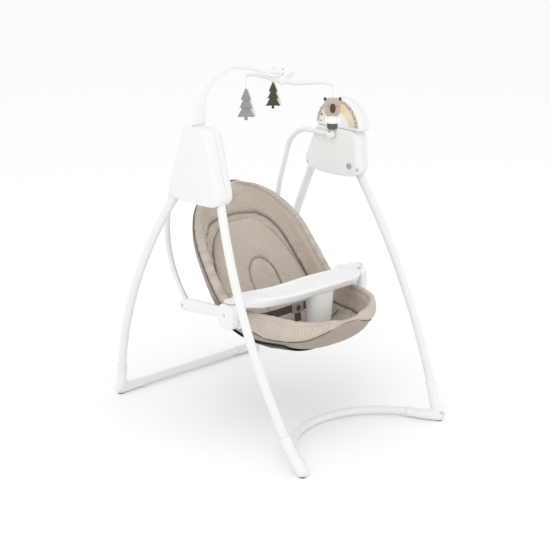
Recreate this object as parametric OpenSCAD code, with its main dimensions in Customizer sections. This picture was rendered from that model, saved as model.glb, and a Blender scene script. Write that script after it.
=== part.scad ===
// Baby swing: two floor frames hinged in side housings, a seat on swinging hangers, a tray and a toy mobile.
// Origin on the floor, midway between the feet. The seat faces -Y, +X is the motor side, +Z is up.

/* [Floor frame] */
// Outside diameter of the leg and rail tubes
leg_d = 25.4; // [24:0.2:26]
// Wall thickness of the leg and rail tubes
leg_wall = 1.5; // [1.2:0.1:2]
// Distance from the middle to a foot, across
foot_x = 291; // [286:1:296]
// Distance from the middle to a foot, front to back
foot_y = 420; // [415:1:425]
// How far a leg bows outwards
leg_bow = 43; // [38:1:46]
// Radius of the front floor rail in plan
rail_r = 275; // [270:1:285]

/* [Housings] */
// Distance from the middle to the inner face of a housing
house_in = 240; // [240:1:242]
// Distance from the middle to the outer face of a housing
house_out = 310; // [309:1:312]
// Wall thickness of the moulded covers
cover_wall = 3; // [2.5:0.5:3.5]
// Height of the lower edge of the housings
house_z = 710; // [708:1:712]

/* [Swing] */
// Height of the axis that the seat swings about
pivot_z = 837; // [835:1:839]
// Diameter of the pivot shafts
shaft_d = 12; // [12:0.5:13]
// Outside diameter of the hanger tubes
hanger_d = 16; // [15:0.5:17]
// Distance from the middle to a hanger
hanger_x = 229; // [229:0.5:230]

/* [Seat] */
// Thickness of the padded liner at its walls
pad_side = 26; // [22:1:28]
// Thickness of the padded liner at its bottom
pad_floor = 28; // [24:1:30]
// Thickness of the moulded seat shell
shell_t = 5; // [4:0.5:6]

/* [Toy mobile] */
// Width of the toy arm's blade where it leaves the housing
arm_root = 42; // [38:1:44]
// Thickness of the toy arm's blade
arm_t = 14; // [12:1:16]

/* [Hidden] */

$fn = 48;
leg_r = leg_d / 2;
shaft_r = shaft_d / 2;
split_x = (house_in + house_out) / 2;
fit = 0.06;

// Leg centre lines: hinge end, foot end and the outward bow at the middle
front_top = [268, -48, 770];
front_end = [296, -foot_y + 20, 36];
front_bow = [leg_bow, 0, 0];
rear_top = [266, 92, 768];
rear_end = [foot_x - 2, foot_y - 6, 34];
rear_bow = [leg_bow - 7, 34, 14];
foot_z = 17;
foot_r = 17;
pad_h = 3;
arc_fn = 360;
button_at = [-70, 747];
plug_w = 28;
plug_x = 254;

// Housing outlines in the side plane, as [y, z]
left_outline = [[-131, house_z], [142, house_z], [54, 930], [-42, 930]];
right_outline = [[-127, house_z], [140, house_z], [76, 858], [-92, 858]];
head_c = [-16, 858];
head_r = 92;
battery_hole = [[22, 778], [82, 838]];

// Hanger path in the side plane: straight, tight bend, straight, long curve round the back of the seat
bend_r = 100;
bend_y = 95;
bend_end = 18;
drop_l = 110;
sweep_r = 291;
sweep_end = -46.4;
bend_p = [bend_y + bend_r * cos(bend_end), pivot_z - bend_r + bend_r * sin(bend_end)];
drop_p = bend_p + drop_l * [sin(bend_end), -cos(bend_end)];
sweep_c = drop_p - sweep_r * [cos(bend_end), sin(bend_end)];

// Recline axis and the seat's own cross-sections: [y, z, lean of the depth direction, half width, depth]
recline = [-85, 378];
seat_ribs = [
    [220, 677, 48.6, 55, 16], [200, 655, 48.6, 125, 42], [168, 620, 48.6, 175, 70], [112, 560, 48.6, 213, 95],
    [47, 479, 47, 226, 110], [4, 428, 40, 228, 120], [-25, 404, 27, 227, 128], [-62, 392, 12, 222, 132],
    [-120, 390, 6, 214, 136], [-180, 392, 4, 204, 130], [-235, 388, 2, 186, 116], [-270, 380, 0, 152, 92],
    [-290, 374, 0, 108, 62], [-302, 370, 0, 70, 34]
];
rib_power = 2 / 2.6;

// Toy arm centre line in its own plane: [distance out, height, share of the root width]
arm_ribs = [
    [0, 934, 1], [0, 972, 0.96], [8, 1012, 0.9], [28, 1043, 0.78], [60, 1070, 0.62], [95, 1086, 0.5],
    [123, 1090, 0.45], [165, 1082, 0.38], [215, 1067, 0.32], [288, 1057, 0.3]
];
arm_at = [-275, 26];
arm_yaw = -10.8;
mobile_at = [2, -27];
mobile_z = 1036;
grey_tip = [-70, 55, 1044];
dark_tip = [82, 102, 1047];
bear_tip = [46, -187, 1035];
toy_turn = -43;

// ---- helpers ----

function unit(v) = v / norm(v);

// A closed outline with every corner rounded to radius r by an arc of n steps
function rounded(p, r, n = 5) = [
    for (i = [0:len(p) - 1])
        let (
            b = p[i],
            u = unit(p[(i + len(p) - 1) % len(p)] - b),
            v = unit(p[(i + 1) % len(p)] - b),
            half = acos(u * v) / 2,
            c = b + unit(u + v) * r / sin(half),
            s = unit(b + u * r / tan(half) - c),
            e = unit(b + v * r / tan(half) - c),
            turn = acos(s * e)
        )
        for (k = [0:n])
            c + r * (sin(turn * (1 - k / n)) * s + sin(turn * k / n) * e) / sin(turn)
];

// A counter-clockwise outline moved inwards by d
function inset(p, d) = [
    for (i = [0:len(p) - 1])
        let (
            e1 = unit(p[i] - p[(i + len(p) - 1) % len(p)]),
            e2 = unit(p[(i + 1) % len(p)] - p[i]),
            n1 = [-e1.y, e1.x],
            n2 = [-e2.y, e2.x]
        )
        p[i] + d * (n1 + n2) / (1 + n1 * n2)
];

// Children drawn in [y, z] stand in the side plane and rise along +X from x
module side_plane(x) {
    multmatrix([[0, 0, 1, x], [1, 0, 0, 0], [0, 1, 0, 0], [0, 0, 0, 1]]) children();
}

module both_sides() {
    children();
    mirror([1, 0, 0]) children();
}

module x_rod(at, r, x0, x1) {
    side_plane(x0) translate([at.x, at.y, 0]) cylinder(r = r, h = x1 - x0);
}

module ring(r, bore) {
    difference() {
        circle(r = r, $fn = 48);
        if (bore > 0) circle(r = bore, $fn = 48);
    }
}

// A tube along a circular arc from a to b that passes bow away from the chord's middle
module bow_tube(a, b, bow, r, bore = 0, from = 0, to = 1) {
    u = unit(b - a);
    w = unit(bow - (bow * u) * u);
    n = cross(w, u);
    s = norm(bow);
    half = norm(b - a) / 2;
    big = (half * half + s * s) / (2 * s);
    c = (a + b) / 2 - (big - s) * w;
    h = asin(half / big);
    multmatrix([[w.x, u.x, n.x, c.x], [w.y, u.y, n.y, c.y], [w.z, u.z, n.z, c.z], [0, 0, 0, 1]])
        rotate([0, 0, -h + 2 * h * from])
            rotate_extrude(angle = 2 * h * (to - from), $fn = arc_fn) translate([big, 0]) ring(r, bore);
}

// A straight rod between two points, tapering from ra to rb
module rod(a, b, ra, rb) {
    d = b - a;
    translate(a)
        rotate([0, acos(d.z / norm(d)), atan2(d.y, d.x)]) cylinder(r1 = ra, r2 = rb, h = norm(d));
}

// A closed round tube swept along points, with a radius at each; ref is never along the path
module swept(points, radii, ref, sides = 16) {
    n = len(points);
    rings = [
        for (i = [0:n - 1])
            let (
                t = unit(points[min(n - 1, i + 1)] - points[max(0, i - 1)]),
                u = unit(cross(ref, t)),
                v = cross(t, u)
            )
            [for (k = [0:sides - 1]) points[i] + radii[i] * (cos(360 * k / sides) * u + sin(360 * k / sides) * v)]
    ];
    polyhedron(
        points = [for (r = rings) each r],
        faces = concat(
            [[for (k = [0:sides - 1]) k]],
            [[for (k = [sides - 1:-1:0]) (n - 1) * sides + k]],
            [for (i = [0:n - 2], k = [0:sides - 1]) [i * sides + k, (i + 1) * sides + k, i * sides + (k + 1) % sides]],
            [
                for (i = [0:n - 2], k = [0:sides - 1])
                    [i * sides + (k + 1) % sides, (i + 1) * sides + k, (i + 1) * sides + (k + 1) % sides]
            ]
        )
    );
}

// ---- seat form ----

function signed_power(v, p) = sign(v) * pow(abs(v), p);

// Points across one rib, from one rim over the bottom to the other, moved outwards by grow
function rib(s, grow, span, steps) = [
    for (i = [0:steps])
        let (
            a = -span + 2 * span * i / steps,
            d = max(3, s[4] + grow) * signed_power(cos(a), rib_power),
            x = (s[3] + grow) * signed_power(sin(a), rib_power)
        )
        [x, s[0] + sin(s[2]) * d, s[1] - cos(s[2]) * d]
];

function reversed(p) = [for (i = [len(p) - 1:-1:0]) p[i]];

// The closed skin between two offsets of the seat form, over ribs first to last
module seat_skin(inner, outer, span, first, last, steps = 16) {
    rings = [
        for (i = [first:last])
            concat(rib(seat_ribs[i], outer, span, steps), reversed(rib(seat_ribs[i], inner, span, steps)))
    ];
    n = len(rings[0]);
    m = len(rings);
    polyhedron(
        points = [for (r = rings) each r],
        faces = concat(
            [for (k = [0:steps - 1]) [k, k + 1, n - 2 - k]],
            [for (k = [0:steps - 1]) [k, n - 2 - k, n - 1 - k]],
            [for (k = [0:steps - 1]) (m - 1) * n * [1, 1, 1] + [n - 2 - k, k + 1, k]],
            [for (k = [0:steps - 1]) (m - 1) * n * [1, 1, 1] + [n - 1 - k, n - 2 - k, k]],
            [
                for (i = [0:m - 2], k = [0:n - 1])
                    [i * n + k, (i + 1) * n + k, (i + 1) * n + (k + 1) % n]
            ],
            [
                for (i = [0:m - 2], k = [0:n - 1])
                    [i * n + k, (i + 1) * n + (k + 1) % n, i * n + (k + 1) % n]
            ]
        )
    );
}

// ---- housings ----

// One half of a housing: a side wall with a skirt round it, open at the split and along the bottom
module cover_half(outline, r, x_face, x_split) {
    wall = cover_wall;
    low = min(x_face, x_split);
    cut_x = x_face < x_split ? low + wall : low - 1;
    difference() {
        side_plane(low) linear_extrude(abs(x_split - x_face)) polygon(rounded(outline, r));
        side_plane(cut_x) linear_extrude(abs(x_split - x_face) - wall + 1)
            polygon(rounded(inset(outline, wall), r - wall));
        translate([cut_x, outline[0].x + 16, house_z - 10])
            cube([abs(x_split - x_face) - wall + 1, outline[1].x - outline[0].x - 30, 20]);
        x_rod([0, pivot_z], 11, low - 1, low + abs(x_split - x_face) - 3);
        bow_tube(rear_top, rear_end, rear_bow, leg_r + 0.4, 0, 0, 0.2);
    }
}

screw_at = [[-104, 740], [112, 730]];

// Bosses that hold the hinge pins, reaching from the side wall to the leg plugs
module pin_bosses(x0, x1) {
    for (p = [[front_top.y, front_top.z], [rear_top.y, rear_top.z]])
        difference() {
            x_rod(p, 9, x0, x1);
            x_rod(p, 5, x0 - 1, x1 + 1);
        }
}

module inner_cover(outline, r) {
    difference() {
        union() {
            cover_half(outline, r, house_in, split_x);
            pin_bosses(house_in + cover_wall - 0.5, plug_x - 0.5);
            difference() {
                x_rod([0, pivot_z], 14, house_in, house_in + 12);
                x_rod([0, pivot_z], 11, house_in - 1, house_in + 13);
            }
        }
        x_rod(button_at, 9.4, house_in - 1, house_in + 6);
        for (p = screw_at) x_rod(p, 3.1, house_in - 2, house_in + 6);
    }
}

module outer_cover(outline, r) {
    cover_half(outline, r, house_out, split_x);
    pin_bosses(plug_x + plug_w + 0.5, house_out - cover_wall + 0.5);
    difference() {
        x_rod([0, pivot_z], 14, house_out - 15, house_out - 2);
        x_rod([0, pivot_z], 11, house_out - 16, house_out - 3);
    }
}

module socket_hole() {
    translate([arm_at.x, arm_at.y, 900]) cylinder(r = 15, h = 40);
}

module left_outer_cover() {
    color("white") difference() {
        mirror([1, 0, 0]) outer_cover(left_outline, 26);
        socket_hole();
    }
}

module left_inner_cover() {
    color("white") difference() {
        mirror([1, 0, 0]) inner_cover(left_outline, 26);
        socket_hole();
    }
}

module right_outer_cover() {
    color("white") difference() {
        outer_cover(right_outline, 10);
        translate([house_out - 5, battery_hole[0].x, battery_hole[0].y])
            cube([10, battery_hole[1].x - battery_hole[0].x, battery_hole[1].y - battery_hole[0].y]);
        x_rod([60, 738], 6, house_out - 5, house_out + 5);
    }
}

module right_inner_cover() {
    color("white") inner_cover(right_outline, 10);
}

function arch(r, n = 24) = [for (i = [0:n]) head_c + r * [cos(180 * i / n), sin(180 * i / n)]];

// Domed head on the motor housing, open underneath
module control_head() {
    color("white") difference() {
        side_plane(house_in) linear_extrude(house_out - house_in - 4) polygon(arch(head_r));
        side_plane(house_in + cover_wall) linear_extrude(house_out - house_in - 2)
            polygon(concat(arch(head_r - cover_wall), [head_c - [head_r - cover_wall, 10], head_c + [head_r - cover_wall, -10]]));
    }
}

panel_buttons = [[-46, 890], [-16, 900], [14, 890]];

// Panel that closes the head's outer side, with openings for the three buttons
module control_panel() {
    color("gainsboro") difference() {
        side_plane(house_out - 4) linear_extrude(4) polygon(arch(head_r));
        for (p = panel_buttons) x_rod(p, 9.5, house_out - 5, house_out + 1);
    }
}

// Printed arch-shaped decal on the head's inner side
module control_label() {
    color("tan") side_plane(house_in - 0.6) linear_extrude(0.6) difference() {
        polygon(arch(head_r - 3));
        polygon(arch(50));
        translate([head_c.x - head_r, head_c.y - 2]) square([2 * head_r, 12]);
    }
}

// ---- floor frame ----

leg_start = 0.034;

module rear_leg_left() {
    color("white") mirror([1, 0, 0]) rear_leg();
}

module rear_leg_right() {
    color("white") rear_leg();
}

module rear_leg() {
    bow_tube(rear_top, rear_end, rear_bow, leg_r, leg_r - leg_wall, leg_start, 1);
}

module front_leg() {
    bow_tube(front_top, front_end, front_bow, leg_r, leg_r - leg_wall, leg_start, 1);
}

module front_leg_left() {
    color("white") mirror([1, 0, 0]) front_leg();
}

module front_leg_right() {
    color("white") front_leg();
}

rear_rail_x = foot_x - 40;

module rear_rail() {
    color("white") x_tube(foot_y, foot_z, -rear_rail_x, rear_rail_x);
}

module x_tube(y, z, x0, x1) {
    side_plane(x0) translate([y, z, 0]) linear_extrude(x1 - x0) ring(leg_r, leg_r - leg_wall);
}

rail_c = [0, -191 - rail_r];
rail_half = asin(260 / rail_r);

module rail_arc(r, bore, half) {
    translate([0, rail_c.y, foot_z]) rotate([0, 0, 90 - half])
        rotate_extrude(angle = 2 * half, $fn = arc_fn) translate([rail_r, 0]) ring(r, bore);
}

module front_rail() {
    color("white") rail_arc(leg_r, leg_r - leg_wall, rail_half);
}

// Rounded corner moulding with a socket for the leg and one for the rail, standing on a rubber pad
module foot(leg_a, rail_a, corner) {
    difference() {
        union() {
            hull() {
                translate(corner) sphere(r = foot_r, $fn = 24);
                translate(leg_a) sphere(r = foot_r - 1, $fn = 24);
            }
            hull() {
                translate(corner) sphere(r = foot_r, $fn = 24);
                translate(rail_a) sphere(r = foot_r - 1, $fn = 24);
            }
        }
        translate([corner.x - 100, corner.y - 100, -40]) cube([200, 200, 40 + pad_h]);
        children();
    }
}

module rear_foot() {
    foot([rear_end.x + 4, rear_end.y - 14, rear_end.z + 34], [rear_rail_x - 14, foot_y, foot_z], [foot_x, foot_y, foot_z]) {
        bow_tube(rear_top, rear_end, rear_bow, leg_r, 0, 0.8, 1);
        x_rod([foot_y, foot_z], leg_r, rear_rail_x - 60, rear_rail_x);
    }
}

module rear_feet() {
    color("white") both_sides() rear_foot();
}

module front_foot() {
    foot([front_end.x + 4, front_end.y + 12, front_end.z + 30], [258, -374, foot_z], [foot_x, -foot_y, foot_z]) {
        bow_tube(front_top, front_end, front_bow, leg_r, 0, 0.8, 1);
        rail_arc(leg_r, 0, rail_half);
    }
}

module front_feet() {
    color("white") both_sides() front_foot();
}

module rear_foot_pads() {
    color("dimgray") both_sides() translate([foot_x, foot_y, 0]) cylinder(r = 8, h = pad_h);
}

module front_foot_pads() {
    color("dimgray") both_sides() translate([foot_x, -foot_y, 0]) cylinder(r = 8, h = pad_h);
}

// Moulded plug at the top of a leg: a drum round the hinge pin and a spigot inside the tube
module leg_plug(a, b, bow, r) {
    difference() {
        union() {
            x_rod([a.y, a.z], r, plug_x, plug_x + plug_w);
            bow_tube(a, b, bow, leg_r - leg_wall - 0.1, 0, 0, 0.08);
        }
        x_rod([a.y, a.z], 5 + fit, plug_x - 1, plug_x + plug_w + 1);
    }
}

module front_leg_plugs() {
    color("lightgray") both_sides() leg_plug(front_top, front_end, front_bow, 18);
}

module rear_leg_plugs() {
    color("lightgray") both_sides() leg_plug(rear_top, rear_end, rear_bow, 14);
}

module hinge_pins() {
    color("silver") both_sides() for (p = [front_top, rear_top])
        x_rod([p.y, p.z], 5, house_in + cover_wall, house_out - cover_wall);
}

// ---- small frame parts ----

module bush(x0, x1) {
    difference() {
        x_rod([0, pivot_z], 11, x0, x1);
        x_rod([0, pivot_z], shaft_r + fit, x0 - 1, x1 + 1);
    }
}

module pivot_bushes() {
    color("darkgray") both_sides() {
        bush(house_in, house_in + 12);
        bush(house_out - 15, house_out - 4);
    }
}

module cover_screws() {
    color("silver") both_sides() for (p = screw_at)
        x_rod(p, 3, house_in - 1, house_in + cover_wall);
}

module toy_socket() {
    color("white") translate([arm_at.x, arm_at.y, 902]) difference() {
        cylinder(r = 15, h = 31.5);
        translate([0, 0, 4]) cylinder(r = 10 + fit, h = 30);
    }
}

module battery_cells() {
    color("goldenrod") for (p = [[38, 822], [66, 822], [38, 793], [66, 793]])
        x_rod(p, 13, 250, 300);
}

module battery_door() {
    color("white") translate([house_out - cover_wall, battery_hole[0].x + 0.3, battery_hole[0].y + 0.3])
        cube([cover_wall, battery_hole[1].x - battery_hole[0].x - 0.6, battery_hole[1].y - battery_hole[0].y - 0.6]);
}

module circuit_board() {
    color("darkgreen") translate([292, -66, 868]) cube([1.6, 100, 48]);
}

module speaker() {
    color("black") x_rod([-16, 892], 25, 246, 262);
}

wheel_at = [-5, 765];
wheel_r = 20;
wheel_x = 288;
worm_r = 6;
worm_at = [wheel_x + 3, wheel_at.y - wheel_r - worm_r - 0.4];

module y_rod(x, z, r, y0, y1) {
    translate([x, y1, z]) rotate([90, 0, 0]) cylinder(r = r, h = y1 - y0);
}

module motor() {
    color("silver") {
        y_rod(worm_at.x, worm_at.y, 13, 18, 52);
        y_rod(worm_at.x, worm_at.y, 4, 15, 18);
    }
}

module worm() {
    color("brown") difference() {
        y_rod(worm_at.x, worm_at.y, worm_r, -26, 14.5);
        for (k = [0:8])
            translate([worm_at.x, -22 + 4 * k, worm_at.y]) rotate([90, 0, 0])
                rotate_extrude() translate([worm_r, 0]) circle(r = 1.2, $fn = 24);
    }
}

// Worm wheel with an off-centre crank pin that works the drive lever
module crank_wheel() {
    color("ivory") difference() {
        union() {
            x_rod(wheel_at, wheel_r, wheel_x, wheel_x + 6);
            x_rod([wheel_at.x, wheel_at.y - 12], 3, wheel_x - 1.4, wheel_x);
            x_rod(wheel_at, 5, wheel_x, wheel_x + 12);
        }
        for (a = [0:15:345])
            x_rod(wheel_at + wheel_r * [cos(a), sin(a)], 1.4, wheel_x - 1, wheel_x + 7);
    }
}

module power_inlet() {
    color("black") difference() {
        x_rod([60, 738], 5.9, house_out - 14, house_out);
        x_rod([60, 738], 3.2, house_out - 10, house_out + 1);
    }
}

// ---- buttons ----

module fold_button() {
    x_rod(button_at, 9, house_in - 4, house_in + 2);
    x_rod(button_at, 4, house_in + 2, house_in + 8);
}

module fold_button_left() {
    color("darkgray") mirror([1, 0, 0]) fold_button();
}

module fold_button_right() {
    color("darkgray") fold_button();
}

module panel_button(p) {
    color("silver") x_rod(p, 9.1, house_out - 8, house_out + 2);
}

module power_button() {
    panel_button(panel_buttons[0]);
}

module speed_button() {
    panel_button(panel_buttons[1]);
}

module music_button() {
    panel_button(panel_buttons[2]);
}

// ---- swing ----

// Points along the hanger's centre line in the side plane, as [y, z]
hanger_path = concat(
    [[8, pivot_z], [50, pivot_z]],
    [for (i = [0:6]) let (a = 90 + (bend_end - 90) * i / 6) [bend_y, pivot_z - bend_r] + bend_r * [cos(a), sin(a)]],
    [for (i = [0:14]) let (a = bend_end + (sweep_end - bend_end) * i / 14) sweep_c + sweep_r * [cos(a), sin(a)]]
);

module hanger() {
    difference() {
        union() {
            x_rod([0, pivot_z], 13, hanger_x - 10, hanger_x + 9);
            swept([for (p = hanger_path) [hanger_x, p.x, p.y]], [for (p = hanger_path) hanger_d / 2], [1, 0, 0]);
        }
        x_rod([0, pivot_z], shaft_r, hanger_x - 11, hanger_x + 10);
    }
}

module hanger_left() {
    color("white") mirror([1, 0, 0]) hanger();
}

module hanger_right() {
    color("white") hanger();
}

module pivot_shafts() {
    color("silver") both_sides() x_rod([0, pivot_z], shaft_r, hanger_x - 10, house_out - 8);
}

lever_x = 280;
pin_r = 6;
tray_pin = [-262, -85];

module drive_lever() {
    color("ivory") difference() {
        union() {
            x_rod([0, pivot_z], 11, lever_x, lever_x + 6);
            side_plane(lever_x) linear_extrude(6) translate([-7, 776]) square([14, pivot_z - 776]);
        }
        x_rod([0, pivot_z], shaft_r, lever_x - 1, lever_x + 7);
        side_plane(lever_x - 1) linear_extrude(8) translate([-3.5, 781]) square([7, 24]);
    }
}

carrier_outline = [
    [150, 322], [164, 352], [146, 378], [48, 391], [-60, 394], [-108, 392], [-108, 362], [-40, 362], [72, 346], [128, 326]
];

// Arm from the lower end of a hanger forward to the hub, with a socket for the hanger
module carrier() {
    difference() {
        side_plane(234) linear_extrude(15) polygon(rounded(carrier_outline, 5));
        swept([for (p = hanger_path) [hanger_x, p.x, p.y]], [for (p = hanger_path) hanger_d / 2], [1, 0, 0]);
        x_rod(recline, pin_r, 230, 260);
    }
}

module carrier_left() {
    color("white") mirror([1, 0, 0]) carrier();
}

module carrier_right() {
    color("white") carrier();
}

hub_top = 423;
hub_outline = [[-117, 348], [-53, 348], [-53, hub_top], [-117, hub_top]];

// Rounded cover over the recline joint; the left one also carries the tray's pivot pin
module hub_covers() {
    color("white") both_sides() difference() {
        union() {
            side_plane(254) linear_extrude(31) polygon(rounded(hub_outline, 22));
            x_rod(recline, 15, 249, 254);
        }
        x_rod(recline, pin_r, 240, 275);
    }
    color("white") translate([tray_pin.x, tray_pin.y, hub_top - 2]) cylinder(r = 5, h = 14);
}

module recline_pins() {
    color("silver") both_sides() x_rod(recline, pin_r, 229.5, 275);
}

// Plate on each side of the seat that hangs it on a recline pin
module seat_brackets() {
    color("dimgray") both_sides() difference() {
        union() {
            x_rod(recline, 18, 229.5, 232.5);
            side_plane(229.5) linear_extrude(3) translate([recline.x - 18, 298]) square([36, recline.y - 298]);
            translate([190, recline.x - 18, 298]) cube([40, 36, 5]);
        }
        x_rod(recline, pin_r + fit, 229, 233);
        seat_skin(-60, shell_t + 0.9, 88, 5, 10);
    }
}

module seat_shell() {
    color("black") seat_skin(0.4, shell_t, 62, 3, 11);
}

module seat_pad() {
    color("tan") seat_skin(-pad_side, 0, 89, 0, 13);
}

module support_insert() {
    color("wheat") seat_skin(-pad_side - 24, -pad_side - 3, 52, 3, 8, 12);
}

buckle_at = [0, -92, 352];

module harness_straps() {
    color("dimgray") both_sides()
        translate(buckle_at + [24, -2, -12]) cube([98, 3, 25]);
    color("dimgray") translate(buckle_at + [-12, -5, -42]) cube([24, 3, 24]);
}

module buckle() {
    color("gray") difference() {
        translate(buckle_at + [-23, -7, -17]) cube([46, 14, 36]);
        translate([buckle_at.x, buckle_at.y - 8, buckle_at.z]) rotate([-90, 0, 0]) cylinder(r = 9.4, h = 6);
    }
}

module buckle_button() {
    color("crimson") translate([buckle_at.x, buckle_at.y - 9, buckle_at.z]) rotate([-90, 0, 0])
        cylinder(r = 9, h = 5);
}

lever_at = [180, 455];

module recline_lever() {
    color("dimgray") difference() {
        translate([-45, lever_at.x - 8, lever_at.y - 26]) cube([90, 10, 30]);
        translate([-33, lever_at.x - 9, lever_at.y - 18]) cube([66, 12, 14]);
    }
}

// ---- tray ----

// Tray cross-sections from the middle out: [x, front edge low, front edge high, back edge, underside, top]
tray_ribs = [
    [0, -225, -250, -130, 430, 466], [60, -219, -243, -126, 427, 463], [115, -203, -225, -113, 419, 456],
    [160, -180, -198, -90, 412, 449], [195, -158, -172, -64, 408, 443], [220, -140, -150, -48, 408, 438],
    [240, -125, -132, -62, 404, 434]
];
tray_n = len(tray_ribs);

// Rib i of the tray, counted from the left end; the ribs left of the middle are mirrored
function tray_rib(i) =
    let (r = tray_ribs[abs(i - tray_n + 1)], x = sign(i - tray_n + 1) * r[0])
    [[x, r[1], r[4]], [x, r[2], r[5]], [x, r[3], r[5]], [x, r[3], r[4]]];

module tray_plate() {
    m = 2 * tray_n - 1;
    polyhedron(
        points = [for (i = [0:m - 1]) each tray_rib(i)],
        faces = concat(
            [[3, 2, 1, 0]],
            [[for (k = [0:3]) (m - 1) * 4 + k]],
            [for (i = [0:m - 2], k = [0:3]) [i * 4 + k, i * 4 + (k + 1) % 4, (i + 1) * 4 + k]],
            [for (i = [0:m - 2], k = [0:3]) [i * 4 + (k + 1) % 4, (i + 1) * 4 + (k + 1) % 4, (i + 1) * 4 + k]]
        )
    );
}

ear_z = hub_top + 1;

module tray() {
    color("white") difference() {
        union() {
            tray_plate();
            both_sides() translate([230, recline.x - 18, ear_z]) cube([44, 36, 9]);
        }
        translate([tray_pin.x, tray_pin.y, ear_z - 1]) cylinder(r = 5 + fit, h = 12);
    }
}

module crotch_post() {
    color("white") hull() {
        translate([0, -188, 426]) scale([1, 0.6, 1]) cylinder(r = 49, h = 1, $fn = 32);
        translate([0, -188, 332]) scale([1, 0.6, 1]) cylinder(r = 40.6, h = 1, $fn = 32);
    }
}

module tray_latch() {
    color("white") translate([274.3, recline.x - 14, ear_z + 0.5]) cube([5, 28, 8]);
}

// ---- toy mobile ----

arm_n = len(arm_ribs);

// Unit normal of the toy arm's centre line at rib i
function arm_normal(i) =
    let (a = arm_ribs[max(0, i - 1)], b = arm_ribs[min(arm_n - 1, i + 1)], d = unit([b.x - a.x, b.y - a.y]))
    [-d.y, d.x];

function arm_edge(i, side) =
    [arm_ribs[i].x, arm_ribs[i].y] + side * arm_root / 2 * arm_ribs[i][2] * arm_normal(i);

module toy_arm() {
    color("white") translate([arm_at.x, arm_at.y, 0]) {
        translate([0, 0, 906.2]) cylinder(r = 10, h = 30);
        rotate([90, 0, arm_yaw]) translate([0, 0, -arm_t / 2]) difference() {
            linear_extrude(arm_t) polygon(concat(
                [for (i = [0:arm_n - 1]) arm_edge(i, -1)],
                [for (i = [arm_n - 1:-1:0]) arm_edge(i, 1)]
            ));
            translate([282, 1070, arm_t / 2]) rotate([90, 0, 0]) cylinder(r = 3.4, h = 40);
        }
    }
}

// A twig: a smooth curve through four points, tapering from r0 to r1
module branch(p, r0, r1, steps = 10) {
    path = [
        for (i = [0:steps])
            let (t = i / steps, m = 1 - t)
            m * m * m * p[0] + 3 * m * m * t * p[1] + 3 * m * t * t * p[2] + t * t * t * p[3]
    ];
    swept(path, [for (i = [0:steps]) r0 + (r1 - r0) * i / steps], [0, 0, 1], 12);
}

hub_c = [mobile_at.x, mobile_at.y, mobile_z];

module mobile_branches() {
    color("white") {
        translate(hub_c - [0, 0, 12]) cylinder(r = 13, h = 24);
        translate(hub_c) cylinder(r = 3, h = 32);
        translate(hub_c + [0, 0, 31]) cylinder(r = 6, h = 5);
        branch([hub_c, hub_c + [-30, 10, -8], hub_c + [-44, 60, 24], grey_tip], 8, 4.5);
        branch([hub_c, hub_c + [24, 50, -14], hub_c + [50, 90, 22], dark_tip], 8, 4.5);
        branch([hub_c, hub_c + [14, -50, -18], hub_c + [26, -110, 14], bear_tip], 9, 4);
        branch([hub_c, hub_c + [20, 4, 0], hub_c + [36, 10, 6], hub_c + [54, 14, 14]], 7, 6);
    }
}

// A toy hangs from tip, turned to face the front corner; its own axes are across, front to back and up
module hung(tip, drop) {
    translate([tip.x, tip.y, tip.z - drop]) rotate([0, 0, toy_turn]) children();
}

tree_half = [[5, -110], [5, -96], [25, -96], [11, -66], [19, -66], [8, -38], [15, -38], [0, 0]];

module pine(scale_by) {
    outline = concat(
        [for (p = tree_half) scale_by * p],
        [for (i = [len(tree_half) - 2:-1:0]) scale_by * [-tree_half[i].x, tree_half[i].y]]
    );
    rotate([90, 0, 0]) translate([0, 0, -6]) linear_extrude(12) polygon(outline);
}

module ribbon(drop) {
    translate([-2, -0.5, -2]) cube([4, 1, drop - 4]);
}

module grey_tree() {
    color("silver") hung(grey_tip, 36) {
        pine(0.86);
        ribbon(36);
    }
}

module dark_tree() {
    color("darkolivegreen") hung(dark_tip, 62) {
        pine(0.8);
        ribbon(62);
    }
}

module teddy_bear() {
    color("rosybrown") hung(bear_tip, 38) {
        translate([0, 0, -25]) scale([29, 20, 27] / 20) sphere(r = 20, $fn = 32);
        translate([0, 0, -70]) scale([15, 12, 25] / 12) sphere(r = 12, $fn = 32);
        ribbon(38);
    }
}

left_outer_cover();
left_inner_cover();
right_outer_cover();
right_inner_cover();
control_head();
control_panel();
control_label();
rear_leg_left();
rear_leg_right();
rear_rail();
rear_feet();
rear_foot_pads();
rear_leg_plugs();
hinge_pins();
pivot_bushes();
cover_screws();
toy_socket();
battery_cells();
battery_door();
circuit_board();
speaker();
motor();
power_inlet();
front_leg_left();
front_leg_right();
front_rail();
front_feet();
front_foot_pads();
front_leg_plugs();
fold_button_left();
fold_button_right();
power_button();
speed_button();
music_button();
crank_wheel();
worm();
hanger_left();
hanger_right();
pivot_shafts();
drive_lever();
carrier_left();
carrier_right();
hub_covers();
recline_pins();
seat_brackets();
seat_shell();
seat_pad();
support_insert();
harness_straps();
buckle();
buckle_button();
recline_lever();
tray();
crotch_post();
tray_latch();
toy_arm();
mobile_branches();
grey_tree();
dark_tree();
teddy_bear();
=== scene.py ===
"""Baby swing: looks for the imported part, piece by piece, in the part's own frame and in metres."""
import math

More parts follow.
